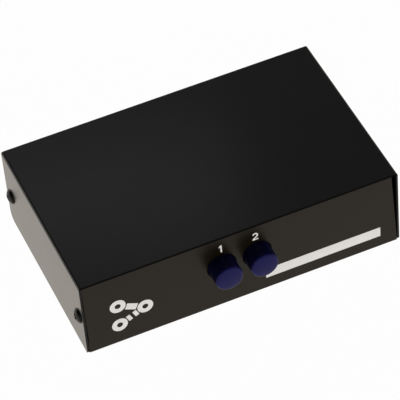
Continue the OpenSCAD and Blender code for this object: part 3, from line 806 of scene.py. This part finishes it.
    @staticmethod
    def cross_head_screws() -> bpy.types.NodeTree:
        """Screws with a cross cut in their heads, at the object's points, each turned by its attribute.

        Returns:
            The tree.
        """
        draft = GroupDraft(
            "cross_head_screws", TreeKind.GEOMETRY,
            {"Places": Socket.GEOMETRY, "Outline": Socket.OBJECT, "Sides": Socket.WHOLE,
             "Cross Length": Socket.NUMBER, "Cross Width": Socket.NUMBER, "Cross Depth": Socket.NUMBER,
             "Head Top": Socket.NUMBER, "Finish": Socket.MATERIAL},
            {"Geometry": Socket.GEOMETRY},
        )
        net, given = draft.wiring, draft.given
        outline = net.add("GeometryNodeObjectInfo", {"Object": given["Outline"]}).outputs["Geometry"]
        blank = net.place(Trees.shared("lathe"), TreeKind.GEOMETRY, {
            "Outline": outline, "Sides": given["Sides"],
        }).outputs[0]
        # The bars that cut the cross stand half out of the head.
        deep = net.math("MULTIPLY", given["Cross Depth"], 2.0)
        middle = net.add("ShaderNodeCombineXYZ", {2: given["Head Top"]}).outputs[0]
        for span_x, span_y in (("Cross Length", "Cross Width"), ("Cross Width", "Cross Length")):
            size = net.add("ShaderNodeCombineXYZ", {0: given[span_x], 1: given[span_y], 2: deep})
            bar = net.add("GeometryNodeMeshCube", {"Size": size.outputs[0]})
            raised = net.add("GeometryNodeTransform", {"Geometry": bar.outputs[0], "Translation": middle})
            cut = net.add("GeometryNodeMeshBoolean", {
                "Mesh 1": blank, "Mesh 2": raised.outputs[0],
            }, operation="DIFFERENCE", solver="EXACT")
            blank = cut.outputs[0]
        turn = net.add("GeometryNodeInputNamedAttribute", {"Name": "turn"}, data_type="FLOAT_VECTOR")
        copies = net.add("GeometryNodeInstanceOnPoints", {
            "Points": given["Places"], "Instance": Trees.creased(net, blank),
            "Rotation": net.add("FunctionNodeEulerToRotation", {0: turn.outputs[0]}).outputs[0],
        })
        return Trees.close(draft, copies.outputs[0])

    @staticmethod
    def wound_wire() -> bpy.types.NodeTree:
        """Round wire along the path that the object's points give.

        Returns:
            The tree.
        """
        draft = GroupDraft(
            "wound_wire", TreeKind.GEOMETRY,
            {"Path": Socket.GEOMETRY, "Wire Radius": Socket.NUMBER, "Sides": Socket.WHOLE,
             "Finish": Socket.MATERIAL},
            {"Geometry": Socket.GEOMETRY},
        )
        net, given = draft.wiring, draft.given
        path = net.add("GeometryNodeMeshToCurve", {0: given["Path"]}).outputs[0]
        ring = net.add("GeometryNodeCurvePrimitiveCircle", {
            "Resolution": given["Sides"], "Radius": given["Wire Radius"],
        })
        wire = net.add("GeometryNodeCurveToMesh", {
            "Curve": path, "Profile Curve": ring.outputs[0], "Fill Caps": True,
        })
        return Trees.close(draft, Trees.creased(net, wire.outputs[0]))


@dataclass
class FoldedPiece:
    """A piece of the case or a moulding: the solid's own shape with its edges rounded."""

    node: str
    slot: str
    finish: Finish
    edge: float = 0.12 * MM
    segments: int = 3
    flat_angle: float = math.radians(0.5)
    flat_weight: int = 100

    def build(self) -> bpy.types.Object:
        """Makes the piece.

        Returns:
            The piece, which stands for its CAD node.
        """
        shell = bmesh.new()
        shell.from_mesh(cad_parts[self.node].data)
        bmesh.ops.remove_doubles(shell, verts=shell.verts, dist=MERGE)
        bmesh.ops.dissolve_limit(
            shell, angle_limit=self.flat_angle, verts=shell.verts, edges=shell.edges,
        )
        for face in shell.faces:
            face.smooth = True
        mesh = bpy.data.meshes.new(f"{self.node}_shell")
        shell.to_mesh(mesh)
        shell.free()
        for name in ("custom_normal", "sharp_edge"):
            if name in mesh.attributes:
                mesh.attributes.remove(mesh.attributes[name])
        piece = add_piece(f"{self.node}_shell", mesh)
        mesh.materials.append(self.finish.material())
        bevel = piece.modifiers.new("rounded_edges", "BEVEL")
        bevel.width = self.edge
        bevel.segments = self.segments
        bevel.limit_method = "ANGLE"
        bevel.angle_limit = CREASE_ANGLE
        flat = piece.modifiers.new("flat_faces", "WEIGHTED_NORMAL")
        flat.mode = "FACE_AREA"
        flat.weight = self.flat_weight
        settle(piece)
        return finish_piece(piece, CASE, self.slot, self.node)


@dataclass
class TurnedPiece:
    """A row of equal turned pieces that stand for one CAD node."""

    node: str
    body: str
    slot: str
    finish: Finish
    outline: list[Vector]
    start: Place
    step: Place = ORIGIN
    count: int = 1
    sides: int = 64
    turn: Place = ALONG_Y

    def build(self) -> bpy.types.Object:
        """Makes the row.

        Returns:
            The piece.
        """
        piece = add_piece(f"{self.node}_turned", point_mesh(self.node, standing(self.outline)))
        Trees.apply(piece, "turned_row", {
            "Sides": self.sides, "Count": self.count, "Start": self.start, "Step": self.step,
            "Turn": self.turn, "Finish": self.finish.material(),
        })
        return finish_piece(piece, self.body, self.slot, self.node)


@dataclass
class Buttons:
    """The two caps: plain drums with a slightly crowned face and a rounded rim."""

    rim: float = 1.0 * MM
    crown: float = 0.35 * MM
    crown_steps: int = 8
    wall: float = 1.2 * MM
    face: float = 2.0 * MM
    boss_radius: float = 3.1 * MM
    bore_radius: float = 2.3 * MM
    bore_floor: float = 3.9 * MM
    small_edge: float = 0.15 * MM
    sides: int = 96

    def outline(self, radius: float, length: float) -> list[Vector]:
        """The cap's section, from the middle of its face to the bottom of its bore.

        Args:
            radius: the cap's radius.
            length: the cap's length.

        Returns:
            Radius and depth of each point.
        """
        inner = radius - self.wall
        face_radius = radius - self.rim
        ball = ball_radius(face_radius, self.crown)
        slope = math.asin(face_radius / ball)
        crown_end = STRAIGHT_DOWN + math.degrees(slope)
        crowned = arc_points(Vector((0, ball)), ball, STRAIGHT_DOWN, crown_end, self.crown_steps)
        crowned[0].x = 0.0
        corner = self.crown + self.rim * math.tan(slope)
        return crowned[:-1] + rounded_path([
            (*crowned[-1], 0), (radius, corner, self.rim), (radius, length, self.small_edge),
            (inner, length, self.small_edge), (inner, self.face, self.small_edge),
            (self.boss_radius, self.face, self.small_edge), (self.boss_radius, length, self.small_edge),
            (self.bore_radius, length, self.small_edge), (self.bore_radius, self.bore_floor, 0),
            (0, self.bore_floor, 0),
        ], closed=False)

    def build(self) -> None:
        """Makes both caps."""
        for key in Key:
            node = f"button_cap_{key.value}"
            low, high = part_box(node)
            middle = (low + high) / 2
            TurnedPiece(
                node, f"button_{key.value}", "cap_violet", Finishes.CAP,
                self.outline((high.x - low.x) / 2, high.y - low.y),
                (middle.x, low.y, middle.z), sides=self.sides,
            ).build()


@dataclass
class CoverScrews:
    """The cross-head screws in the side walls."""

    shank_radius: float = 1.5 * MM
    tip_radius: float = 1.1 * MM
    washer_radius: float = 3.2 * MM
    washer_thick: float = 0.2 * MM
    head_radius: float = 2.75 * MM
    rim_height: float = 0.5 * MM
    rim_edge: float = 0.12 * MM
    dome_height: float = 0.95 * MM
    length: float = 5.0 * MM
    cross_length: float = 3.0 * MM
    cross_width: float = 0.9 * MM
    cross_depth: float = 0.9 * MM
    spins: tuple[float, ...] = (20.0, 65.0, 40.0, 5.0)
    sides: int = 48
    dome_steps: int = 10
    edge_steps: int = 3

    def outline(self) -> list[Vector]:
        """The screw's section, from the top of its dome to its tip.

        Returns:
            Radius and height of each point, with the underside of the head at 0.
        """
        ball = ball_radius(self.head_radius, self.dome_height)
        rim_angle = math.degrees(math.acos(self.head_radius / ball))
        middle = Vector((0, self.head_top() - ball))
        dome = arc_points(middle, ball, STRAIGHT_UP, rim_angle, self.dome_steps)
        dome[0].x = 0.0
        rest = rounded_path([
            (*dome[-2], 0), (*dome[-1], self.rim_edge), (self.head_radius, self.washer_thick, 0),
            (self.washer_radius, self.washer_thick, 0), (self.washer_radius, 0, 0),
            (self.shank_radius, 0, 0),
            (self.shank_radius, self.shank_radius - self.tip_radius - self.length, 0),
            (self.tip_radius, -self.length, 0), (0, -self.length, 0),
        ], closed=False, steps=self.edge_steps)
        return dome[:-1] + rest[1:]

    def head_top(self) -> float:
        """The height of the head's top over its underside."""
        return self.washer_thick + self.rim_height + self.dome_height

    def build(self) -> None:
        """Makes the four screws as one piece, with the rear ones a little lower than the front ones."""
        low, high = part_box("cover_screws")
        _, cover_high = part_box("top_cover")
        reach = Vector((self.washer_radius,) * 3)
        lowest, highest = low + reach, high - reach
        front, rear = (lowest.y, highest.z), (highest.y, lowest.z)
        places, turns = [], []
        for side in Side:
            lay = Matrix.Rotation(side.value * math.pi / 2, 4, "Y")
            for y, z in (front, rear):
                spin = Matrix.Rotation(math.radians(self.spins[len(places)]), 4, "Z")
                places.append(Vector((side.value * cover_high.x, y, z)))
                turns.append(tuple((lay @ spin).to_euler()))
        mesh = point_mesh("cover_screw_places", places)
        turn = mesh.attributes.new("turn", "FLOAT_VECTOR", "POINT")
        for value, angles in zip(turn.data, turns):
            value.vector = angles
        outline = point_mesh("cover_screw_outline", standing(self.outline()))
        section = add_piece("cover_screw_outline", outline)
        piece = add_piece("cover_screws_turned", mesh)
        Trees.apply(piece, "cross_head_screws", {
            "Outline": section, "Sides": self.sides, "Cross Length": self.cross_length,
            "Cross Width": self.cross_width, "Cross Depth": self.cross_depth,
            "Head Top": self.head_top(), "Finish": Finishes.SCREW.material(),
        })
        bpy.data.objects.remove(section)
        finish_piece(piece, CASE, "black_screw", "cover_screws")


@dataclass
class Feet:
    """The four rubber feet, in two rows."""

    edge: float = 0.35 * MM
    draft: float = 0.5 * MM
    dimple_radius: float = 1.6 * MM
    dimple_depth: float = 0.4 * MM
    radius: float = 4.5 * MM
    per_row: int = 2
    sides: int = 64

    def build(self) -> None:
        """Makes the feet as one piece, from two rows of two."""
        low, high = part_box("rubber_feet")
        outline = rounded_path([
            (0, self.dimple_depth, 0), (self.dimple_radius, self.dimple_depth, self.edge / 2),
            (self.dimple_radius, 0, self.edge / 2), (self.radius - self.draft, 0, self.edge),
            (self.radius, high.z, 0), (0, high.z, 0),
        ], closed=False)
        reach = Vector((self.radius,) * 3)
        first, last = low + reach, high - reach
        rows = []
        for y in (first.y, last.y):
            points = point_mesh("rubber_feet_row", standing(outline))
            row = add_piece(f"rubber_feet_row_{len(rows)}", points)
            Trees.apply(row, "turned_row", {
                "Sides": self.sides, "Count": self.per_row, "Start": (first.x, y, 0.0),
                "Step": (last.x - first.x, 0.0, 0.0), "Turn": UPRIGHT,
                "Finish": Finishes.RUBBER.material(),
            })
            rows.append(row)
        piece = join_pieces("rubber_feet_turned", rows)
        finish_piece(piece, CASE, "foot_rubber", "rubber_feet")


@dataclass
class Sockets:
    """The phono sockets: nickel sleeves and coloured insulators in rows of three."""

    root_radius: float = 4.6 * MM
    sleeve_radius: float = 4.15 * MM
    sleeve_wall: float = 0.5 * MM
    exposed: float = 7.3 * MM
    lip: float = 0.2 * MM
    fit: float = 0.05 * MM
    hole_radius: float = 1.7 * MM
    hole_length: float = 6.5 * MM
    hole_mouth: float = 0.3 * MM
    pocket_radius: float = 2.15 * MM
    flange_radius: float = 4.7 * MM
    flange_thick: float = 1.0 * MM
    groove_radius: float = 2.9 * MM
    groove_width: float = 0.35 * MM
    groove_depth: float = 0.25 * MM
    small_edge: float = 0.1 * MM
    insulator_edge_steps: int = 4

    def sleeve_outline(self, length: float) -> list[Vector]:
        """A sleeve's section, once round.

        Args:
            length: the sleeve's length.

        Returns:
            Radius and distance from the sleeve's inner end.
        """
        step = length - self.exposed
        inner = self.sleeve_radius - self.sleeve_wall
        path = rounded_path([
            (inner, 0, self.small_edge), (self.root_radius, 0, self.small_edge),
            (self.root_radius, step, self.small_edge), (self.sleeve_radius, step, 0),
            (self.sleeve_radius, length, self.lip), (inner, length, self.lip),
        ], closed=True)
        return path + path[:1]

    def insulator_outline(self, length: float) -> list[Vector]:
        """An insulator's section, once round.

        Args:
            length: the insulator's length.

        Returns:
            Radius and distance from the insulator's inner end.
        """
        body = self.sleeve_radius - self.sleeve_wall - self.fit
        groove_floor = length - self.groove_depth
        groove_inner = self.groove_radius - self.groove_width
        hole_floor = length - self.hole_length
        path = rounded_path([
            (self.pocket_radius, 0, 0), (self.flange_radius, 0, self.small_edge),
            (self.flange_radius, self.flange_thick, self.small_edge), (body, self.flange_thick, 0),
            (body, length, self.small_edge), (self.groove_radius, length, self.small_edge),
            (self.groove_radius, groove_floor, 0), (groove_inner, groove_floor, 0),
            (groove_inner, length, self.small_edge), (self.hole_radius, length, self.hole_mouth),
            (self.hole_radius, hole_floor, 0), (self.pocket_radius, hole_floor, 0),
        ], closed=True, steps=self.insulator_edge_steps)
        return path + path[:1]

    def row(
        self, node: str, slot: str, finish: Finish, edge: float, outline: Callable[[float], list[Vector]],
    ) -> None:
        """Makes a node's row of three.

        Args:
            node: the CAD node.
            slot: the record's material slot.
            finish: the pieces' finish.
            edge: the radius of the pieces where they are widest.
            outline: gives their section for a length.
        """
        low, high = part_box(node)
        first, last = high.x - edge, low.x + edge
        start = (first, low.y, (low.z + high.z) / 2)
        count = len(Block)
        step = ((last - first) / (count - 1), 0.0, 0.0)
        TurnedPiece(node, CASE, slot, finish, outline(high.y - low.y), start, step, count).build()

    def build(self) -> None:
        """Makes the sleeves of each block and the insulators of each colour."""
        for block in Block:
            node = f"jack_sleeves_{block.value}"
            self.row(node, "nickel", Finishes.NICKEL, self.root_radius, self.sleeve_outline)
        colours = {"video": ("yellow", Finishes.YELLOW), "left": ("white", Finishes.WHITE),
                   "right": ("red", Finishes.RED)}
        for signal, (colour, finish) in colours.items():
            node, slot = f"{signal}_insulators", f"insulator_{colour}"
            self.row(node, slot, finish, self.flange_radius, self.insulator_outline)


@dataclass
class Springs:
    """The wound springs."""

    turns: float = 5.0
    steps_per_turn: int = 32
    wire_sides: int = 12
    end_flattening: float = 0.6
    return_wire: float = 0.25 * MM
    latch_wire: float = 0.15 * MM

    def path(self, low: Vector, high: Vector, axis: Axis, wire: float) -> list[Vector]:
        """The middle line of a spring's wire, with closer turns at both ends.

        Args:
            low: the lowest corner of the spring's box.
            high: the highest corner of it.
            axis: the spring's axis.
            wire: the radius of the wire.

        Returns:
            The points, in order.
        """
        along = axis.value
        side, other = (i for i in range(len(low)) if i != along)
        middle = (low + high) / 2
        coil = (high[side] - low[side]) / 2 - wire
        rise = high[along] - low[along] - 2 * wire
        count = round(self.turns * self.steps_per_turn)
        points = []
        for step in range(count + 1):
            share = step / count
            eased = share - self.end_flattening * math.sin(2 * math.pi * share) / (2 * math.pi)
            angle = 2 * math.pi * self.turns * share
            point = middle.copy()
            point[side] += coil * math.cos(angle)
            point[other] += coil * math.sin(angle)
            point[along] = low[along] + wire + rise * eased
            points.append(point)
        return points

    def wind(self, node: str, axis: Axis, wire: float) -> None:
        """Makes one spring.

        Args:
            node: the spring's CAD node.
            axis: its axis.
            wire: the radius of its wire.
        """
        low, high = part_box(node)
        piece = add_piece(f"{node}_wire", point_mesh(node, self.path(low, high, axis, wire), joined=True))
        Trees.apply(piece, "wound_wire", {
            "Wire Radius": wire, "Sides": self.wire_sides, "Finish": Finishes.SPRING.material(),
        })
        finish_piece(piece, CASE, "spring_steel", node)
        anchor = (low + high) / 2
        anchor[axis.value] = high[axis.value]
        along = Vector()
        along[axis.value] = 1.0
        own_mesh(piece)

    def build(self) -> None:
        """Makes the return springs and the latch spring."""
        for key in Key:
            self.wind(f"return_spring_{key.value}", Axis.Y, self.return_wire)
        self.wind("latch_spring", Axis.X, self.latch_wire)


@dataclass
class PanelPrint:
    """White ink on the front panel: the buttons' numbers, a plain bar and a selector sign."""

    thick: float = 0.03 * MM
    sunk: float = 0.005 * MM
    number_height: float = 3.65 * MM
    stroke: float = 0.58 * MM
    one_x: float = -8.46 * MM
    one_base: float = 29.95 * MM
    flag_drop: float = 1.3 * MM
    flag_reach: float = 0.95 * MM
    flag_tip_strokes: float = 0.9
    flag_root_strokes: float = 1.35
    two_x: float = 5.77 * MM
    two_base: float = 29.87 * MM
    two_width_share: float = 0.66
    bow_start: float = 165.0
    bow_end: float = -35.0
    bow_steps: int = 16
    mitre_limit: float = 0.5
    bar_left: float = 8.97 * MM
    bar_right: float = 57.1 * MM
    bar_low: float = 7.46 * MM
    bar_high: float = 12.18 * MM
    bar_corner: float = 0.2 * MM
    sign_left: float = -54.1 * MM
    sign_right: float = -37.0 * MM
    sign_low: float = 7.97 * MM
    sign_high: float = 24.45 * MM
    contact_radius: float = 3.2 * MM
    contact_hole: float = 1.2 * MM
    lever_width: float = 3.0 * MM
    lever_gap: float = 0.4 * MM
    dash_share: float = 0.36
    round_steps: int = 32

    def plates(self, name: str, strips: list[Strip]) -> bpy.types.Object:
        """Thin plates of ink on the panel.

        Args:
            name: the piece's name.
            strips: for each plate, the points along its two sides, in X and Z.

        Returns:
            The piece.
        """
        tray_low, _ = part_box("tray")
        back = tray_low.y + self.sunk
        shell = bmesh.new()
        for sides in strips:
            left, right = (
                [shell.verts.new((point.x, back, point.y)) for point in side] for side in sides
            )
            faces = []
            for i in range(len(left) - 1):
                faces.append(shell.faces.new((left[i], right[i], right[i + 1], left[i + 1])))
            bmesh.ops.remove_doubles(shell, verts=shell.verts, dist=MERGE)
            faces = [face for face in faces if face.is_valid]
            raised = bmesh.ops.extrude_face_region(shell, geom=faces, use_keep_orig=True)
            verts = [part for part in raised["geom"] if isinstance(part, bmesh.types.BMVert)]
            bmesh.ops.translate(shell, verts=verts, vec=(0, -self.thick - self.sunk, 0))
        bmesh.ops.recalc_face_normals(shell, faces=shell.faces)
        mesh = bpy.data.meshes.new(name)
        shell.to_mesh(mesh)
        shell.free()
        mesh.materials.append(Finishes.INK.material())
        return finish_piece(add_piece(name, mesh), CASE, None)

    def ring(self, middle: Vector, outer: float, inner: float) -> Strip:
        """The two sides of a ring."""
        radii = (outer, inner)
        return tuple(arc_points(middle, radius, 0, WHOLE_TURN, self.round_steps) for radius in radii)

    def block(self, left: float, right: float, low: float, high: float) -> Strip:
        """The left and right sides of an upright block."""
        return tuple([Vector((x, low)), Vector((x, high))] for x in (left, right))

    def ribbon(self, path: list[Vector], width: float) -> Strip:
        """The two sides of a stroke of even width along a path.

        Args:
            path: the stroke's middle line.
            width: the stroke's width.

        Returns:
            The points along its left and right sides.
        """
        left, right = [], []
        last = len(path) - 1
        for i, point in enumerate(path):
            before = (point - path[max(i - 1, 0)]).normalized()
            after = (path[min(i + 1, last)] - point).normalized()
            heading = (before + after).normalized()
            side = Vector((-heading.y, heading.x))
            reference = after if after.length else before
            spread = width / 2 / max(heading.dot(reference), self.mitre_limit)
            left.append(point + side * spread)
            right.append(point - side * spread)
        return left, right

    def one(self) -> list[Strip]:
        """The figure 1: an upright and a slanted flag.

        Returns:
            The sides of each plate.
        """
        top = self.one_base + self.number_height
        left, right = self.one_x, self.one_x + self.stroke
        tip_x = self.one_x + self.stroke / 2 - self.flag_reach
        tip_low = top - self.flag_drop
        upper = [Vector((left, top)), Vector((tip_x, tip_low + self.stroke * self.flag_tip_strokes))]
        lower = [Vector((left, top - self.stroke * self.flag_root_strokes)), Vector((tip_x, tip_low))]
        return [self.block(left, right, self.one_base, top), (upper, lower)]

    def two(self) -> list[Strip]:
        """The figure 2: a bow, a slanted stroke and a foot.

        Returns:
            The sides of each plate.
        """
        half_width = self.two_width_share * self.number_height / 2
        bow = half_width - self.stroke / 2
        foot_top = self.two_base + self.stroke
        middle = Vector((self.two_x, self.two_base + self.number_height - self.stroke / 2 - bow))
        path = arc_points(middle, bow, self.bow_start, self.bow_end, self.bow_steps)
        path.append(Vector((self.two_x - bow, foot_top)))
        foot = self.block(self.two_x - half_width, self.two_x + half_width, self.two_base, foot_top)
        return [self.ribbon(path, self.stroke), foot]

    def bar(self) -> list[Strip]:
        """The plain bar, with slightly rounded corners.

        Returns:
            The sides of its one plate.
        """
        corner = self.bar_corner
        middle = (self.bar_low + self.bar_high) / 2
        lower = rounded_path([
            (self.bar_left, middle, 0), (self.bar_left, self.bar_low, corner),
            (self.bar_right, self.bar_low, corner), (self.bar_right, middle, 0),
        ], closed=False)
        upper = [Vector((point.x, 2 * middle - point.y)) for point in lower]
        return [(lower, upper)]

    def sign(self) -> list[Strip]:
        """A selector sign: two contacts on the left and a pole on the right.

        A whole lever joins the pole to the upper contact, and two dashes point to the lower one.

        Returns:
            The sides of each plate.
        """
        radius = self.contact_radius
        upper = Vector((self.sign_left + radius, self.sign_high - radius))
        lower = Vector((self.sign_left + radius, self.sign_low + radius))
        pole = Vector((self.sign_right - radius, (self.sign_low + self.sign_high) / 2))
        strips = [self.ring(spot, radius, self.contact_hole) for spot in (upper, lower, pole)]
        whole = ((0, 1),)
        dashes = ((0, self.dash_share), (1 - self.dash_share, 1))
        for contact, shares in ((upper, whole), (lower, dashes)):
            along = (contact - pole).normalized() * (radius + self.lever_gap)
            start, end = pole + along, contact - along
            for ends in shares:
                strips.append(self.ribbon([start.lerp(end, share) for share in ends], self.lever_width))
        return strips

    def build(self) -> None:
        """Makes every print."""
        prints = {"number_one": self.one(), "number_two": self.two(), "bar": self.bar(),
                  "selector_sign": self.sign()}
        for name, strips in prints.items():
            self.plates(f"{name}_print", strips)


class InnerWorks:
    """The solids that keep their own shape and only get a finish."""

    FINISHES = {
        "plunger": Finishes.NYLON, "retaining_clip": Finishes.SPRING, "sliding_contacts": Finishes.BRASS,
        "switch_body": Finishes.SWITCH, "switch_pins": Finishes.TIN, "switch_frame": Finishes.ZINC,
        "latch_plate": Finishes.ZINC, "main_board": Finishes.BOARD, "board_standoffs": Finishes.BRASS,
        "board_screws": Finishes.ZINC, "earth_strap": Finishes.TIN, "centre_contacts": Finishes.BRASS,
    }

    def build(self) -> None:
        """Gives each shown solid its finish."""
        for name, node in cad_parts.items():
            if node.hide_render:
                continue
            finish = next(look for start, look in self.FINISHES.items() if name.startswith(start))
            node.data.materials.clear()
            node.data.materials.append(finish.material())
            LOG.info("%s keeps its solid and takes %s", name, finish.name)


@dataclass(frozen=True)
class Lamp:
    """A soft rectangular lamp, which shiny surfaces mirror or don't."""

    name: str
    place: Place
    aim: Place
    width: float
    height: float
    power: float
    mirrored: bool = True

    def build(self) -> None:
        """Hangs the lamp."""
        data = bpy.data.lights.new(self.name, "AREA")
        data.shape = "RECTANGLE"
        data.size = self.width
        data.size_y = self.height
        data.energy = self.power
        lamp = bpy.data.objects.new(self.name, data)
        lamp.visible_glossy = self.mirrored
        bpy.context.scene.collection.objects.link(lamp)
        lamp.location = self.place
        lamp.rotation_euler = (Vector(self.aim) - Vector(self.place)).to_track_quat("-Z", "Y").to_euler()


@dataclass
class Studio:
    """A pale sweep, soft lamps and the camera at the photograph's angle."""

    sweep_radius: float = 2.5
    sweep_height: float = 1.2
    sweep_bend: float = 0.8
    sweep_steps: int = 16
    sweep_sides: int = 96
    floor_drop: float = 0.1 * MM
    floor_colour: Colour = (0.86, 0.82, 0.76)
    mirror_tint: Colour = (1.0, 0.93, 0.84)
    camera_white: float = 0.985
    mirror_white: float = 0.95
    sky: float = 0.02
    azimuth: float = -19.62
    elevation: float = 45.36
    roll: float = -5.529
    aim: Place = (-0.319 * MM, 0.14 * MM, 17.652 * MM)
    distance: float = 1084.85 * MM
    lens: float = 253.4
    sensor: float = 36.0
    lamps: tuple[Lamp, ...] = (
        Lamp("front_lamp", (0.0, -1.65, 0.06), (0.0, 0.0, 0.02),
             width=0.6, height=0.1, power=21.9, mirrored=False),
        Lamp("right_lamp", (0.9, -1.35, 0.06), (0.0, 0.0, 0.02),
             width=1.0, height=0.1, power=4.0, mirrored=False),
        Lamp("rear_lamp", (0.2, 1.65, 0.14), (0.0, 0.0, 0.02), width=1.0, height=0.22, power=12.0),
        Lamp("back_lamp", (0.38, 1.05, 1.15), (0.0, 0.0, 0.036), width=1.4, height=1.4, power=2.4),
        Lamp("sheen_lamp", (0.05, 0.32, 0.373), (-0.06, 0.01, 0.037),
             width=0.16, height=0.06, power=0.032),
        Lamp("fold_lamp", (-1.15, 1.1, 0.38), (-0.065, 0.0, 0.036), width=0.5, height=0.5, power=3.0),
    )

    def sweep_finish(self) -> bpy.types.Material:
        """The sweep's matt paper, which the camera and mirrors see near white with its shadows.

        Returns:
            The material.
        """
        material = bpy.data.materials.new("sweep_paper")
        material.use_nodes = True
        net = Wiring(material.node_tree)
        net.tree.nodes.clear()
        ray = net.add("ShaderNodeLightPath").outputs
        seen = net.math("MULTIPLY", ray["Is Camera Ray"], self.camera_white)
        mirrored = net.math("MAXIMUM", ray["Is Glossy Ray"], ray["Is Transmission Ray"])
        share = net.math("MAXIMUM", seen, net.math("MULTIPLY", mirrored, self.mirror_white))
        paper = net.add("ShaderNodeBsdfDiffuse", {"Color": (*self.floor_colour, 1.0)})
        warm = net.vector("SCALE", [1.0 - part for part in self.mirror_tint], ray["Is Glossy Ray"])
        tint = net.vector("SUBTRACT", EVEN, warm)
        white = net.add("ShaderNodeEmission", {"Color": tint, "Strength": 1.0})
        mix = net.add("ShaderNodeMixShader", {0: share, 1: paper.outputs[0], 2: white.outputs[0]})
        net.add("ShaderNodeOutputMaterial", {"Surface": mix.outputs[0]})
        return material

    def build_sweep(self) -> None:
        """A round floor that rises into a backdrop all round."""
        outline = rounded_path([
            (0, -self.floor_drop, 0), (self.sweep_radius, -self.floor_drop, self.sweep_bend),
            (self.sweep_radius, self.sweep_height, 0),
        ], closed=False, steps=self.sweep_steps)
        sweep = add_piece("studio_sweep", point_mesh("studio_sweep", standing(outline)))
        Trees.apply(sweep, "turned_row", {
            "Sides": self.sweep_sides, "Count": 1, "Start": ORIGIN, "Step": ORIGIN, "Turn": UPRIGHT,
            "Finish": self.sweep_finish(),
        })

    def build_camera(self) -> None:
        """A long lens at the photograph's angle, with the roll that the photograph has."""
        turn, rise, lean = map(math.radians, (self.azimuth, self.elevation, self.roll))
        back = Vector((math.sin(turn) * math.cos(rise), -math.cos(turn) * math.cos(rise), math.sin(rise)))
        level = Vector((math.cos(turn), math.sin(turn), 0.0))
        upward = back.cross(level)
        right = math.cos(lean) * level + math.sin(lean) * upward
        up = math.cos(lean) * upward - math.sin(lean) * level
        data = bpy.data.cameras.new("photo_camera")
        data.lens = self.lens
        data.sensor_width = self.sensor
        camera = bpy.data.objects.new("photo_camera", data)
        bpy.context.scene.collection.objects.link(camera)
        pose = Matrix((right, up, back)).transposed().to_4x4()
        pose.translation = Vector(self.aim) + back * self.distance
        camera.matrix_world = pose
        bpy.context.scene.camera = camera

    def build(self) -> None:
        """Makes the camera, the sweep, the lamps and the sky."""
        self.build_camera()
        self.build_sweep()
        for lamp in self.lamps:
            lamp.build()
        world = bpy.data.worlds.new("studio_sky")
        world.use_nodes = True
        background = world.node_tree.nodes["Background"]
        background.inputs["Color"].default_value = (self.sky, self.sky, self.sky, 1.0)
        scene = bpy.context.scene
        scene.world = world
        scene.view_settings.view_transform = "Standard"


def main() -> None:
    """Builds the pieces in order."""
    logging.basicConfig(level=logging.INFO, format="%(message)s")
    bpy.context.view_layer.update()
    Studio().build()
    FoldedPiece("top_cover", "black_paint", Finishes.COVER).build()
    FoldedPiece("tray", "black_paint", Finishes.TRAY).build()
    for block in Block:
        FoldedPiece(f"jack_housing_{block.value}", "housing_black", Finishes.HOUSING).build()
    Buttons().build()
    CoverScrews().build()
    Feet().build()
    Sockets().build()
    Springs().build()
    PanelPrint().build()
    InnerWorks().build()


if __name__ == "__main__":
    main()
